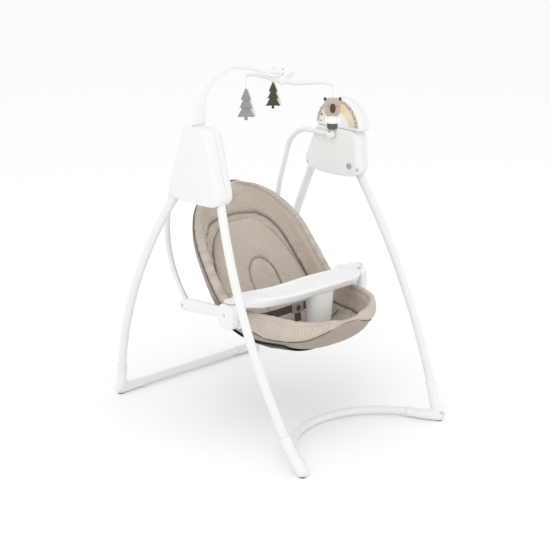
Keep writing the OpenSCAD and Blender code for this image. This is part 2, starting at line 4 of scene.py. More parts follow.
import bmesh
import bpy
import numpy as np
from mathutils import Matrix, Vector


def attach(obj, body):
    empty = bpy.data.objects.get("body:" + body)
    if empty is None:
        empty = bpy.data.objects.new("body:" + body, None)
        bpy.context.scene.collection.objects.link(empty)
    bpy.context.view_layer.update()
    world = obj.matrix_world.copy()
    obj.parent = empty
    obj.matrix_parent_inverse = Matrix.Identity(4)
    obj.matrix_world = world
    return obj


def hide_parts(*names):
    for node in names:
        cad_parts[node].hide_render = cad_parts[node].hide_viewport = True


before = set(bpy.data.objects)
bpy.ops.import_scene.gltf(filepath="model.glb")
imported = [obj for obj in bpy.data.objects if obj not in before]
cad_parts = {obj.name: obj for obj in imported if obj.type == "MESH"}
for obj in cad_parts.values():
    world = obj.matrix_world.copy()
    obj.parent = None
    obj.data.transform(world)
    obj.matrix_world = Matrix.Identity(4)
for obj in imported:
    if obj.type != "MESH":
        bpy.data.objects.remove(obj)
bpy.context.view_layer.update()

# ---- camera ----
# A long lens a little above the seat, turned 43 degrees, so that the left housing comes
# towards the viewer and the seat is seen from its front corner.
eye = bpy.data.objects.new("eye", bpy.data.cameras.new("eye"))
eye.location = (-2.778, -2.974, 1.7316)
eye.rotation_euler = (math.radians(72.3), 0.0, math.radians(-43.0))
eye.data.lens = 91.64
eye.data.sensor_width = 36.0
eye.data.clip_end = 50.0
bpy.context.scene.collection.objects.link(eye)
bpy.context.scene.camera = eye


# ---- light and floor ----
# A white studio: an even bright surround, one large soft box high on the left, a weaker one
# from the right, and a matt white floor that runs on to the horizon.
def linear(code):
    """An sRGB hex colour as linear RGBA: each channel is (c + 0.055) / 1.055 to the power 2.4, or c / 12.92 when dark."""
    c = np.array([int(code[i:i + 2], 16) for i in (0, 2, 4)]) / 255.0
    return (*np.where(c > 0.04045, ((c + 0.055) / 1.055) ** 2.4, c / 12.92).tolist(), 1.0)


def add(tree, kind, settings=None, **links):
    """Adds one node with its settings; a link's name is an input socket, with _ for a space, and its value a socket or a plain value."""
    n = tree.nodes.new(kind)
    for k, v in (settings or {}).items():
        setattr(n, k, v)
    for k, v in links.items():
        key = int(k[1:]) if k[0] == "i" and k[1:].isdigit() else k.replace("_", " ")
        if isinstance(v, bpy.types.NodeSocket):
            tree.links.new(v, n.inputs[key])
        else:
            n.inputs[key].default_value = v
    return n


bpy.context.scene.view_settings.view_transform = "Standard"
surround = bpy.data.worlds.new("surround")
surround.use_nodes = True
surround.node_tree.nodes["Background"].inputs["Color"].default_value = linear("FFFFFF")
surround.node_tree.nodes["Background"].inputs["Strength"].default_value = 0.98
bpy.context.scene.world = surround

for name, at, size, power in (("key_box", (-2.4, -1.6, 3.4), 2.6, 30.0), ("fill_box", (2.8, -2.2, 2.2), 2.2, 6.0)):
    lamp = bpy.data.objects.new(name, bpy.data.lights.new(name, "AREA"))
    lamp.data.size = size
    lamp.data.energy = power
    lamp.location = at
    lamp.rotation_euler = (Vector((0.0, 0.0, 0.5)) - Vector(at)).to_track_quat("-Z", "Y").to_euler()
    bpy.context.scene.collection.objects.link(lamp)


def surface(name, points, close_u=False, close_v=False, uv=None, merge=True):
    """A mesh over a grid of points: each cell between neighbours u, u + 1 and v, v + 1 is one face.
    A closed direction joins its last line to its first. Coinciding points, as at a pole, become one, and faces are turned outwards."""
    nu, nv = points.shape[:2]
    iu = np.arange(nu if close_u else nu - 1)
    iv = np.arange(nv if close_v else nv - 1)
    a, b = np.meshgrid(iu, iv, indexing="ij")
    a2, b2 = (a + 1) % nu, (b + 1) % nv
    faces = np.stack([a * nv + b, a2 * nv + b, a2 * nv + b2, a * nv + b2], -1).reshape(-1, 4)
    mesh = bpy.data.meshes.new(name)
    mesh.from_pydata(points.reshape(-1, 3).tolist(), [], faces.tolist())
    if uv is not None:
        layer = mesh.uv_layers.new(name="cloth")
        loops = np.empty(len(mesh.loops), dtype=np.int64)
        mesh.loops.foreach_get("vertex_index", loops)
        layer.data.foreach_set("uv", uv.reshape(-1, 2)[loops].ravel())
    if merge:
        bm = bmesh.new()
        bm.from_mesh(mesh)
        bmesh.ops.remove_doubles(bm, verts=bm.verts, dist=2e-5)
        bmesh.ops.recalc_face_normals(bm, faces=bm.faces)
        bm.to_mesh(mesh)
        bm.free()
    mesh.shade_smooth()
    piece = bpy.data.objects.new(name, mesh)
    bpy.context.scene.collection.objects.link(piece)
    return piece


def plain_material(name, code, roughness, grain, depth, tint=0.02, coat=0.0, metallic=0.0, soil=None):
    """A base colour that wanders by tint over a hand's width, under a bump of one noise whose cells are grain metres wide."""
    m = bpy.data.materials.new(name)
    m.use_nodes = True
    t = m.node_tree
    shader = t.nodes["Principled BSDF"]
    where = add(t, "ShaderNodeTexCoord").outputs["Object"]
    broad = add(t, "ShaderNodeTexNoise", Vector=where, Scale=9.0, Detail=3.0)
    base = np.array(linear(code)[:3])
    low, high = np.clip(base * (1 - tint), 0, 1), np.clip(base * (1 + tint), 0, 1)
    mixed = add(t, "ShaderNodeMix", {"data_type": "RGBA"}, i0=broad.outputs["Fac"], i6=(*low, 1.0), i7=(*high, 1.0))
    t.links.new(mixed.outputs[2], shader.inputs["Base Color"])
    fine = add(t, "ShaderNodeTexNoise", Vector=where, Scale=1.0 / grain, Detail=2.0)
    spread = add(t, "ShaderNodeMapRange", Value=fine.outputs["Fac"], To_Min=roughness - 0.05, To_Max=roughness + 0.05)
    t.links.new(spread.outputs["Result"], shader.inputs["Roughness"])
    bump = add(t, "ShaderNodeBump", Height=fine.outputs["Fac"], Strength=0.6, Distance=depth)
    t.links.new(bump.outputs["Normal"], shader.inputs["Normal"])
    shader.inputs["Coat Weight"].default_value = coat
    shader.inputs["Metallic"].default_value = metallic
    return m


floor_points = np.stack(np.meshgrid([-14.0, 14.0], [-14.0, 14.0], [-0.0005], indexing="ij"), -1).reshape(2, 2, 3)
floor = surface("floor", floor_points, merge=False)
floor.data.materials.append(plain_material("matt_white_floor", "FDFDFD", 0.85, 0.02, 0.00002, 0.0))
if floor.data.polygons[0].normal.z < 0:
    floor.data.flip_normals()


# ---- leg and rail tubes ----
# Cold-rolled steel tube, 25 mm across, bent in long curves and powder coated white before
# assembly: a satin skin with a faint orange peel. The CAD tubes are kept.
def finish_nodes(material, *nodes):
    """Puts one material in every slot of these CAD nodes."""
    for n in nodes:
        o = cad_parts[n]
        if not o.material_slots:
            o.data.materials.append(material)
        for s in o.material_slots:
            s.material = material


# orange peel about 1.5 mm across, satin
powder_coat = plain_material("white_powder_coat_on_steel", "E9E9E8", 0.34, 0.0015, 0.00002, 0.01)
powder_coat.node_tree.nodes["Principled BSDF"].inputs["IOR"].default_value = 1.5
finish_nodes(powder_coat, "rear_leg_left", "rear_leg_right", "rear_rail", "front_leg_left", "front_leg_right", "front_rail")


# ---- feet ----
# Corner mouldings in white polypropylene: a socket for the leg, a swelling elbow and a socket
# for the floor rail, each with a raised collar, standing on a small rubber pad.
def through(rows, t):
    """A smooth curve through rows of numbers: between rows i and i + 1 it is the cubic whose slopes are half of each row's neighbours' difference."""
    rows = np.asarray(rows, float)
    n = len(rows)
    i = np.clip(np.floor(t).astype(int), 0, n - 2)
    f = (t - i)[..., None]
    p0, p1, p2, p3 = rows[np.maximum(i - 1, 0)], rows[i], rows[i + 1], rows[np.minimum(i + 2, n - 1)]
    return 0.5 * (2 * p1 + (p2 - p0) * f + (2 * p0 - 5 * p1 + 4 * p2 - p3) * f ** 2 + (3 * p1 - p0 - 3 * p2 + p3) * f ** 3)


def swept(path, wide, high, ref, sides=24, power=2.0):
    """A rounded section carried along a path: at angle v its offset is wide * cos v along the side direction, which is ref x tangent,
    plus high * sin v across it, each to the power 2 / power. Both ends close to a point."""
    path = np.asarray(path, float)
    tangent = np.gradient(path, axis=0)
    tangent /= np.linalg.norm(tangent, axis=1, keepdims=True)
    side = np.cross(np.asarray(ref, float), tangent)
    side /= np.linalg.norm(side, axis=1, keepdims=True)
    up = np.cross(tangent, side)
    v = np.linspace(0, 2 * math.pi, sides, endpoint=False)
    c, s = np.cos(v), np.sin(v)
    c, s = np.sign(c) * np.abs(c) ** (2 / power), np.sign(s) * np.abs(s) ** (2 / power)
    wide = np.broadcast_to(np.asarray(wide, float), len(path))[:, None, None]
    high = np.broadcast_to(np.asarray(high, float), len(path))[:, None, None]
    rings = path[:, None] + wide * c[None, :, None] * side[:, None] + high * s[None, :, None] * up[:, None]
    first = np.broadcast_to(path[:1, None], (1, sides, 3))
    last = np.broadcast_to(path[-1:, None], (1, sides, 3))
    return np.concatenate([first, rings, last])


# slight mould grain, 0.8 mm, satin
moulding = plain_material("satin_white_moulded_ABS", "EBEBEA", 0.38, 0.0008, 0.00001, 0.008)
moulding.node_tree.nodes["Principled BSDF"].inputs["IOR"].default_value = 1.53


def leg_curve(top, end, bow, n=200):
    """The arc from top to end whose middle stands bow off the chord."""
    top, end, bow = (np.asarray(p, float) for p in (top, end, bow))
    u = (end - top) / np.linalg.norm(end - top)
    w = bow - (bow @ u) * u
    s = np.linalg.norm(bow)
    w /= np.linalg.norm(w)
    half = np.linalg.norm(end - top) / 2
    big = (half ** 2 + s ** 2) / (2 * s)
    centre = (top + end) / 2 - (big - s) * w
    h = math.asin(half / big)
    a = np.linspace(-h, h, n)[:, None]
    return centre + big * (np.cos(a) * w + np.sin(a) * u)


rear_leg = leg_curve((266, 92, 768), (289, 414, 34), (36, 34, 14))
front_leg = leg_curve((268, -48, 770), (296, -400, 36), (43, 0, 0))
rail_angle = np.radians(np.linspace(90 - 71.0, 90, 120))
front_rail_half = np.stack([275 * np.cos(rail_angle), -466 + 275 * np.sin(rail_angle), np.full(120, 17.0)], 1)
rear_rail_half = np.stack([np.linspace(251, 150, 120), np.full(120, 420.0), np.full(120, 17.0)], 1)
for name, leg, rail, corner, node in (
    ("rear", rear_leg, rear_rail_half, (291, 420, 17), "rear_feet"),
    ("front", front_leg, front_rail_half, (291, -420, 17), "front_feet"),
):
    up_leg = leg[leg[:, 2] < 112][::-1]
    along = rail[np.linalg.norm(rail - rail[0], axis=1) < 46]
    bend = [up_leg[-1], up_leg[len(up_leg) // 2], up_leg[len(up_leg) // 5], (np.array(corner) + up_leg[0]) / 2 + (0, 0, 0.5),
            np.array(corner), (np.array(corner) * 0.45 + rail[0] * 0.55), rail[0], along[len(along) // 2], along[-1]]
    t = np.linspace(0, len(bend) - 1, 90)
    path = through(bend, t)
    f = t / (len(bend) - 1)
    swell = 14.6 + 2.4 * np.exp(-((f - 0.5) / 0.22) ** 4) + 1.3 * np.exp(-((f - 0.035) / 0.03) ** 4) + 1.3 * np.exp(-((f - 0.965) / 0.03) ** 4)
    swell = np.minimum(swell, 17.0)
    path[:, 2] = np.maximum(path[:, 2], 3.2 + swell * 0.83)
    for side in (-1, 1):
        shape = swept(path * (side, 1, 1) / 1000, swell / 1000, swell / 1000, (0.3, 0.2, 1.0), 36)
        foot = surface(f"{name}_foot_{'left' if side < 0 else 'right'}", shape, close_v=True)
        foot.data.materials.append(moulding)
        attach(foot, "frame" if name == "rear" else "front_frame")
        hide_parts(node)
rubber = plain_material("black_rubber", "3A3A3A", 0.8, 0.0006, 0.00003)
finish_nodes(rubber, "rear_foot_pads", "front_foot_pads")
grey_nylon = plain_material("grey_glass_filled_nylon", "B9BABA", 0.45, 0.0008, 0.00001)
finish_nodes(grey_nylon, "rear_leg_plugs", "front_leg_plugs")


# ---- housings ----
# Each side's housing is two ABS half shells that meet on a parting line round the middle: a
# crowned face with a soft edge, open underneath where the legs go in, held by steel pins.
def rounded_outline(corners, r, n=14, straight=26):
    """A convex outline with each corner an arc of radius r, and points spread along the straights between them."""
    p = np.asarray(corners, float)
    out = []
    for i in range(len(p)):
        b, u, v = p[i], p[i - 1] - p[i], p[(i + 1) % len(p)] - p[i]
        u, v = u / np.linalg.norm(u), v / np.linalg.norm(v)
        half = math.acos(np.clip(u @ v, -1, 1)) / 2
        c = b + (u + v) / np.linalg.norm(u + v) * r / math.sin(half)
        s, e = b + u * r / math.tan(half) - c, b + v * r / math.tan(half) - c
        w = np.linspace(0, 1, n)[:, None]
        turn = math.acos(np.clip(s @ e / r ** 2, -1, 1))
        out.append(c + (np.sin(turn * (1 - w)) * s + np.sin(turn * w) * e) / math.sin(turn))
    ring = []
    for i in range(len(out)):
        nxt = out[(i + 1) % len(out)][0]
        w = np.linspace(0, 1, straight + 2)[1:-1, None]
        ring += [out[i], out[i][-1] + w * (nxt - out[i][-1])]
    return np.concatenate(ring)


def inset(ring, d):
    """The outline moved inwards by d along the mean normal of each point's two neighbours."""
    t = np.roll(ring, -1, 0) - np.roll(ring, 1, 0)
    n = np.stack([-t[:, 1], t[:, 0]], 1)
    n /= np.linalg.norm(n, axis=1, keepdims=True)
    area = 0.5 * np.sum(ring[:, 0] * np.roll(ring[:, 1], -1) - ring[:, 1] * np.roll(ring[:, 0], -1))
    return ring + n * d * (1 if area > 0 else -1)


def half_shell(ring, x_rim, x_face, deep, wide, crown, lip=0.8):
    """Rows of the outline in the side plane from the rim at x_rim out to x_face: a small lip, a straight wall, a quarter ellipse
    deep along x and wide across, then rings shrinking to the middle of a face that rises by crown. The lower edge keeps most of its level."""
    sign = 1 if x_face > x_rim else -1
    foot = np.array([ring[:, 0].mean(), ring[:, 1].min()])
    reach = ring[:, 0].max() - foot[0]

    def drawn_in(d):
        k = 1 - d / reach
        return foot + (ring - foot) * (k, 1 - 0.55 * d / (ring[:, 1].max() - foot[1])) + (0.0, 0.32 * d) * (1 - (ring[:, 1:] - foot[1]) / 220)

    rows = [(x_rim, inset(ring, lip)), (x_rim + sign * lip, ring)]
    rows += [(x, ring) for x in np.linspace(x_rim + sign * lip, x_face - sign * deep, 4)[1:]]
    rows += [(x_face - sign * deep * (1 - math.sin(a)), drawn_in(wide * (1 - math.cos(a)))) for a in np.linspace(0, math.pi / 2, 14)[1:]]
    core = rows[-1][1]
    middle = core.mean(0)
    rows += [(x_face + sign * crown * (1 - k * k), middle + k * (core - middle)) for k in np.linspace(1, 0, 9)[1:]]
    return np.stack([np.column_stack([np.full(len(g), x), g]) for x, g in rows]) / 1000


def open_below(piece, level, reach):
    """Takes out the faces that look down along the bottom wall, where the legs go in."""
    bm = bmesh.new()
    bm.from_mesh(piece.data)
    bm.normal_update()
    gone = [f for f in bm.faces if f.normal.z < -0.8 and f.calc_center_median().z < level and abs(f.calc_center_median().x) < reach]
    bmesh.ops.delete(bm, geom=gone, context="FACES")
    bm.to_mesh(piece.data)
    bm.free()
    piece.data.shade_smooth()


def thicken(piece, thickness):
    """Gives a skin its wall, inwards."""
    m = piece.modifiers.new("wall", "SOLIDIFY")
    m.thickness = thickness
    m.offset = -1.0
    m.use_even_offset = False


def bellied(ring, drop):
    """Lets the lower edge hang by drop at its middle, as half a cosine wave."""
    low = ring[:, 1].min()
    y0, y1 = ring[:, 0].min(), ring[:, 0].max()
    hang_by = drop * np.sin(math.pi * (ring[:, 0] - y0) / (y1 - y0)) * np.clip((low + 16 - ring[:, 1]) / 16, 0, 1)
    return ring - np.column_stack([0 * hang_by, hang_by])


left_ring = bellied(rounded_outline([[-102, 713], [148, 713], [60, 930], [-38, 930]], 28), 6)
right_ring = bellied(rounded_outline([[-106, 716], [140, 716], [76, 858], [-92, 858]], 26), 9)
for name, ring, x_rim, x_face, deep, wide in (
    ("left_outer_cover", left_ring, -275, -310, 20, 13), ("left_inner_cover", left_ring, -275, -240, 33, 26),
    ("right_outer_cover", right_ring, 275, 310, 33, 40), ("right_inner_cover", right_ring, 275, 240, 16, 9),
):
    cover = surface(name + "_shell", half_shell(ring, x_rim, x_face, deep, wide, 0.0), close_v=True)
    open_below(cover, 0.7185, 0.304)
    thicken(cover, 0.0025)
    cover.data.materials.append(moulding)
    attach(cover, "frame")
    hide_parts(name)
steel = plain_material("zinc_plated_steel", "C9CBCC", 0.3, 0.0008, 0.00001, 0.03, metallic=1.0)
finish_nodes(steel, "hinge_pins", "cover_screws")
finish_nodes(moulding, "toy_socket")
# the lid over the batteries stands 0.8 mm proud of the right outer cover's flat face
lid_ring = rounded_outline([[20, 774], [76, 774], [58, 824], [20, 824]], 5)
lid = surface("battery_lid", half_shell(lid_ring, 307, 310.8, 0.8, 0.8, 0.0), close_v=True)
thicken(lid, 0.002)
lid.data.materials.append(moulding)
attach(lid, "frame")
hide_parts("battery_door")


# ---- control head ----
# A domed ABS cap on the motor housing with a rounded edge, closed on its outer side by a grey
# panel with three buttons, and printed on its inner side with an arch of woodland shapes.
dome_turn = np.radians(np.linspace(0, 180, 60))
dome = np.column_stack([-16 + 92 * np.cos(dome_turn), 858 + 92 * np.sin(dome_turn)])
dome_ring = np.concatenate([dome, np.column_stack([np.linspace(-108, 76, 40)[1:-1], np.full(38, 858.0)])])


def dome_shell(x_rim, x_face, r, n=9):
    """The cap in rows from rim to face: the half circle shrinks by the quarter round r at its edge, and its straight lower side keeps its level."""
    sign = 1 if x_face > x_rim else -1
    middle = np.array([-16.0, 894.0])
    base = np.array([-16.0, 858.0])
    rows = [(x, dome_ring) for x in np.linspace(x_rim, x_face - sign * r, 6)]
    for a in np.linspace(0, math.pi / 2, n)[1:]:
        rows.append((x_face - sign * r * (1 - math.sin(a)), base + (dome_ring - base) * (1 - r * (1 - math.cos(a)) / 92)))
    core = rows[-1][1]
    rows += [(x_face, middle + k * (core - middle)) for k in np.linspace(1, 0, 8)[1:]]
    return np.stack([np.column_stack([np.full(len(g), x), g]) for x, g in rows]) / 1000


cap = surface("control_head_cap", dome_shell(272, 240.4, 8), close_v=True)
thicken(cap, 0.0025)
cap.data.materials.append(moulding)
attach(cap, "frame")
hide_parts("control_head")
panel_grey = plain_material("light_grey_moulded_ABS", "CBCCCD", 0.42, 0.0008, 0.00001)
panel = surface("control_head_panel", dome_shell(272, 304, 30, 14), close_v=True)
thicken(panel, 0.0025)
panel.data.materials.append(moulding)
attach(panel, "frame")
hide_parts("control_panel")


def polar(tree, centre_y, centre_z):
    """Distance from the head's middle in the side plane, and the turn about it from 0 to 1, from Object coordinates."""
    where = add(tree, "ShaderNodeTexCoord").outputs["Object"]
    moved = add(tree, "ShaderNodeVectorMath", {"operation": "SUBTRACT"}, i0=where, i1=(0.0, centre_y, centre_z))
    split = add(tree, "ShaderNodeSeparateXYZ", Vector=moved.outputs[0])
    turn = add(tree, "ShaderNodeMath", {"operation": "ARCTAN2"}, i0=split.outputs["Z"], i1=split.outputs["Y"])
    turn = add(tree, "ShaderNodeMath", {"operation": "DIVIDE"}, i0=turn.outputs[0], i1=math.pi)
    square = add(tree, "ShaderNodeVectorMath", {"operation": "MULTIPLY"}, i0=moved.outputs[0], i1=(0.0, 1.0, 1.0))
    far = add(tree, "ShaderNodeVectorMath", {"operation": "LENGTH"}, i0=square.outputs[0])
    return where, far.outputs["Value"], turn.outputs[0]


# a printed vinyl film, half gloss: leaves, berries and stones in soft browns, cream, green and grey
film = bpy.data.materials.new("printed_vinyl_film")
film.use_nodes = True
tree = film.node_tree
shader = tree.nodes["Principled BSDF"]
shader.inputs["Roughness"].default_value = 0.3
where, far, turn = polar(tree, -0.016, 0.858)
zones = add(tree, "ShaderNodeValToRGB", Fac=turn)
zones.color_ramp.interpolation = "EASE"
for i, (at, code) in enumerate(((0.0, "E9E5DC"), (0.22, "E2DDD0"), (0.42, "CFDDA6"), (0.58, "E8CF8C"), (0.74, "EBD9BF"), (1.0, "DDC4AC"))):
    e = zones.color_ramp.elements[i] if i < 2 else zones.color_ramp.elements.new(at)
    e.position = at
    e.color = linear(code)
blobs = add(tree, "ShaderNodeTexVoronoi", Vector=where, Scale=52.0, Randomness=0.9)
spot = add(tree, "ShaderNodeMapRange", Value=blobs.outputs["Distance"], From_Min=0.26, From_Max=0.32, To_Min=1.0, To_Max=0.0)
spot_colour = add(tree, "ShaderNodeValToRGB", Fac=blobs.outputs["Color"])
spot_colour.color_ramp.interpolation = "CONSTANT"
for i, (at, code) in enumerate(((0.0, "A8805E"), (0.3, "C9A27A"), (0.5, "6E6A66"), (0.65, "9CA77C"), (0.82, "D79B5A"))):
    e = spot_colour.color_ramp.elements[i] if i < 2 else spot_colour.color_ramp.elements.new(at)
    e.position = at
    e.color = linear(code)
leafy = add(tree, "ShaderNodeMix", {"data_type": "RGBA"}, i0=spot.outputs["Result"], i6=zones.outputs["Color"], i7=spot_colour.outputs["Color"])
speck = add(tree, "ShaderNodeTexNoise", Vector=where, Scale=420.0, Detail=2.0)
speckle = add(tree, "ShaderNodeValToRGB", Fac=speck.outputs["Fac"])
speckle.color_ramp.elements[0].position, speckle.color_ramp.elements[0].color = 0.44, linear("77746F")
speckle.color_ramp.elements[1].position, speckle.color_ramp.elements[1].color = 0.54, linear("D9D5CE")
edge = add(tree, "ShaderNodeMapRange", Value=far, From_Min=0.0775, From_Max=0.0785, To_Min=0.0, To_Max=1.0)
both = add(tree, "ShaderNodeMix", {"data_type": "RGBA"}, i0=edge.outputs["Result"], i6=leafy.outputs[2], i7=speckle.outputs["Color"])
tree.links.new(both.outputs[2], shader.inputs["Base Color"])
finish_nodes(film, "control_label")


# ---- buttons and screws ----
# Grey ABS caps that press in: one on each housing's inner side to unlock the folding, and
# three on the panel. The housings' screws sit in small shallow wells.
button_grey = plain_material("mid_grey_moulded_ABS", "A9ABAD", 0.4, 0.0008, 0.00001)
finish_nodes(button_grey, "power_button", "speed_button", "music_button")


def turned(profile, axis_point, n=32):
    """A profile of (along, radius) turned about the X axis through axis_point in the side plane, both in millimetres."""
    a = np.linspace(0, 2 * math.pi, n, endpoint=False)
    p = np.asarray(profile, float)
    x = np.broadcast_to(p[:, :1], (len(p), n))
    return np.stack([x, axis_point[0] + p[:, 1:] * np.cos(a), axis_point[1] + p[:, 1:] * np.sin(a)], -1) / 1000


for k, (y, z) in enumerate(((-104, 740), (112, 730))):
    for side in (-1, 1):
        profile = [(side * x, r) for x, r in ((240.3, 0), (239.3, 0.8), (239.2, 3.4), (239.5, 4.2), (240.6, 4.3), (240.8, 0))]
        well = surface(f"screw_cap_{'left' if side < 0 else 'right'}_{k}", turned(profile, (y, z)), close_v=True)
        well.data.materials.append(panel_grey)
        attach(well, "frame")

# each fold button is a low dome that still stands half a millimetre proud when pressed home
for word, side in (("left", -1), ("right", 1)):
    profile = [(side * x, r) for x, r in ((235.5, 0), (235.6, 6.0), (236.0, 8.2), (236.9, 9.0), (241.8, 9.0), (241.8, 0))]
    dome = surface(f"fold_cap_{word}", turned(profile, (-70, 747)), close_v=True)
    dome.data.materials.append(button_grey)
    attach(dome, "fold_button_" + word)
    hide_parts("fold_button_" + word)


# ---- works inside the housings ----
# A small motor turns a worm and wheel, whose crank pin pushes the drive lever; acetal bushes
# carry the shafts. The cells, board and speaker sit in the head and housing.
acetal = plain_material("natural_acetal", "EDEBE2", 0.35, 0.001, 0.00001)
board_green = plain_material("solder_mask_on_glass_epoxy", "1F5A38", 0.4, 0.001, 0.00002)
cell_wrap = plain_material("printed_cell_sleeve", "C89A3C", 0.35, 0.001, 0.00001)
black_plastic = plain_material("black_polypropylene", "26262A", 0.5, 0.0008, 0.00003)
finish_nodes(acetal, "pivot_bushes", "crank_wheel", "worm", "drive_lever")
finish_nodes(steel, "motor", "pivot_shafts", "recline_pins")
finish_nodes(board_green, "circuit_board")
finish_nodes(cell_wrap, "battery_cells")
finish_nodes(black_plastic, "speaker", "power_inlet")

# ---- hangers ----
# One bent 16 mm steel tube a side, powder coated: level at the pivot, a tight bend, then a
# long curve behind the seat. A moulded collar covers its pivot end.
bend = np.radians(np.linspace(90, 18, 24))
bend_mid = np.array([95.0, 737.0])
low = bend_mid + 100 * np.array([math.cos(bend[-1]), math.sin(bend[-1])]) + 110 * np.array([math.sin(bend[-1]), -math.cos(bend[-1])])
sweep_mid = low - 291 * np.array([math.cos(bend[-1]), math.sin(bend[-1])])
curve = np.radians(np.linspace(18, -46.4, 60))
hanger_line = np.concatenate([
    [[8, 837], [30, 837], [60, 837]],
    bend_mid + 100 * np.column_stack([np.cos(bend), np.sin(bend)]),
    bend_mid + 100 * np.array([math.cos(bend[-1]), math.sin(bend[-1])]) + np.linspace(0, 110, 10)[1:-1, None] * np.array([math.sin(bend[-1]), -math.cos(bend[-1])]),
    sweep_mid + 291 * np.column_stack([np.cos(curve), np.sin(curve)]),
])
for side, node in ((-1, "hanger_left"), (1, "hanger_right")):
    line = np.column_stack([np.full(len(hanger_line), 229.0 * side), hanger_line]) / 1000
    tube = surface(node + "_tube", swept(line, 0.008, 0.008, (1, 0, 0), 28), close_v=True)
    tube.data.materials.append(powder_coat)
    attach(tube, "swing")
    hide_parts(node)
    collar = surface(node + "_collar", turned([(side * x, r) for x, r in (
        (218.6, 0), (218.8, 9), (220, 12.4), (222, 13.6), (230, 14), (236, 13.6), (238.2, 12.6), (238.6, 0))], (0, 837), 40), close_v=True)
    collar.data.materials.append(moulding)
    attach(collar, "swing")


# ---- carriers and hubs ----
# Flat nylon arms in white that take the hangers' lower ends and run forward under the seat's
# rim to the recline joint, which a rounded cover with one screw hides.
def slab(ring, x0, x1, r, crown=0.0):
    """A closed plate: its outline in the side plane, a quarter round of radius r along both edges, and faces crowned by crown."""
    middle = ring.mean(0)
    core = inset(ring, r)
    rows = [(x0 - crown * (1 - k * k), middle + k * (core - middle)) for k in np.linspace(0, 1, 8)[:-1]]
    rows += [(x0 + r * (1 - math.sin(a)), inset(ring, r * (1 - math.cos(a)))) for a in np.linspace(math.pi / 2, 0, 8)]
    rows += [(x, ring) for x in np.linspace(x0 + r, x1 - r, 4)[1:-1]]
    rows += [(x1 - r * (1 - math.sin(a)), inset(ring, r * (1 - math.cos(a)))) for a in np.linspace(0, math.pi / 2, 8)]
    rows += [(x1 + crown * (1 - k * k), middle + k * (core - middle)) for k in np.linspace(1, 0, 8)[1:]]
    return np.stack([np.column_stack([np.full(len(g), x), g]) for x, g in rows]) / 1000


arm_spine = through([[140, 344], [146, 356], [122, 362], [48, 370], [-30, 377], [-100, 377.5]], np.linspace(0, 5, 60))
arm_high = through([[12.0], [17.0], [20.0], [19.0], [16.0], [15.0]], np.linspace(0, 5, 60))[:, 0]
hub_ring = rounded_outline([[-117, 348], [-53, 348], [-53, 423], [-117, 423]], 22)
for side, word in ((-1, "left"), (1, "right")):
    line = np.column_stack([np.full(60, 241.5 * side), arm_spine]) / 1000
    arm = surface("carrier_arm_" + word, swept(line, arm_high / 1000, 0.0074, (side * 1.0, 0, 0), 40, 3.6), close_v=True)
    knuckle = surface("carrier_knuckle_" + word, turned([(side * x, r) for x, r in (
        (232.6, 0), (232.8, 10), (234, 13.4), (236, 14.6), (246, 14.6), (249, 13.6), (250, 11), (250.2, 0))], (148, 357), 40), close_v=True)
    hub = surface("hub_cover_" + word, slab(hub_ring, min(254 * side, 285 * side), max(254 * side, 285 * side), 8, 0.6), close_v=True)
    profile = [(side * x, r) for x, r in ((248.8, 0), (249, 15), (255, 15), (255.2, 0))]
    neck = surface("hub_neck_" + word, turned(profile, (-85, 378), 40), close_v=True)
    for piece in (arm, knuckle, hub, neck):
        piece.data.materials.append(moulding)
        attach(piece, "swing")
    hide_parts("carrier_" + word)
    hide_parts("hub_covers")
    for k, (y, z, x) in enumerate(((-85, 392, 285.4), (148, 357, 250.0))):
        steps = ((-0.6, 0), (-0.5, 4.6), (0.3, 4.6), (0.9, 3.4), (0.9, 1.6), (0.1, 1.3), (0.0, 0))
        screw = surface(f"joint_screw_{word}_{k}", turned([(side * (x + dx), r) for dx, r in steps], (y, z), 28), close_v=True)
        screw.data.materials.append(steel)
        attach(screw, "swing")
pin_turn = np.linspace(0, 2 * math.pi, 28, endpoint=False)
pin_rows = [(421, 0), (421, 5), (433.6, 5), (434.8, 4), (435, 0)]
tray_pin = surface("tray_pin", np.stack([np.column_stack([-262 + r * np.cos(pin_turn), -85 + r * np.sin(pin_turn), np.full(28, z)]) for z, r in pin_rows]) / 1000, close_v=True)
tray_pin.data.materials.append(moulding)
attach(tray_pin, "swing")

# ---- seat brackets ----
# A white nylon plate each side, riveted to the seat shell's wall, that hangs it on the recline pin.
plate_ring = rounded_outline([[-101, 338], [-69, 338], [-68, 395], [-102, 395]], 14)
for side, word in ((-1, "left"), (1, "right")):
    bracket = surface("seat_bracket_" + word, slab(plate_ring, min(229.4 * side, 232.6 * side), max(229.4 * side, 232.6 * side), 1.2), close_v=True)
    bracket.data.materials.append(moulding)
    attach(bracket, "seat")
    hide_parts("seat_brackets")

# ---- seat shell ----
# A bucket moulded in black polypropylene, 5 mm thick, that the liner is pulled over; it
# shows only underneath. Shallow ribs stiffen its back.
seat_ribs = np.array([
    [220, 677, 48.6, 55, 16], [200, 655, 48.6, 125, 42], [168, 620, 48.6, 175, 70], [112, 560, 48.6, 213, 95],
    [47, 479, 47, 226, 110], [4, 428, 40, 228, 120], [-25, 404, 27, 227, 128], [-62, 392, 12, 222, 132],
    [-120, 390, 6, 214, 136], [-180, 392, 4, 204, 130], [-235, 388, 2, 186, 116], [-270, 380, 0, 152, 92],
    [-290, 374, 0, 108, 62], [-302, 370, 0, 70, 34],
])


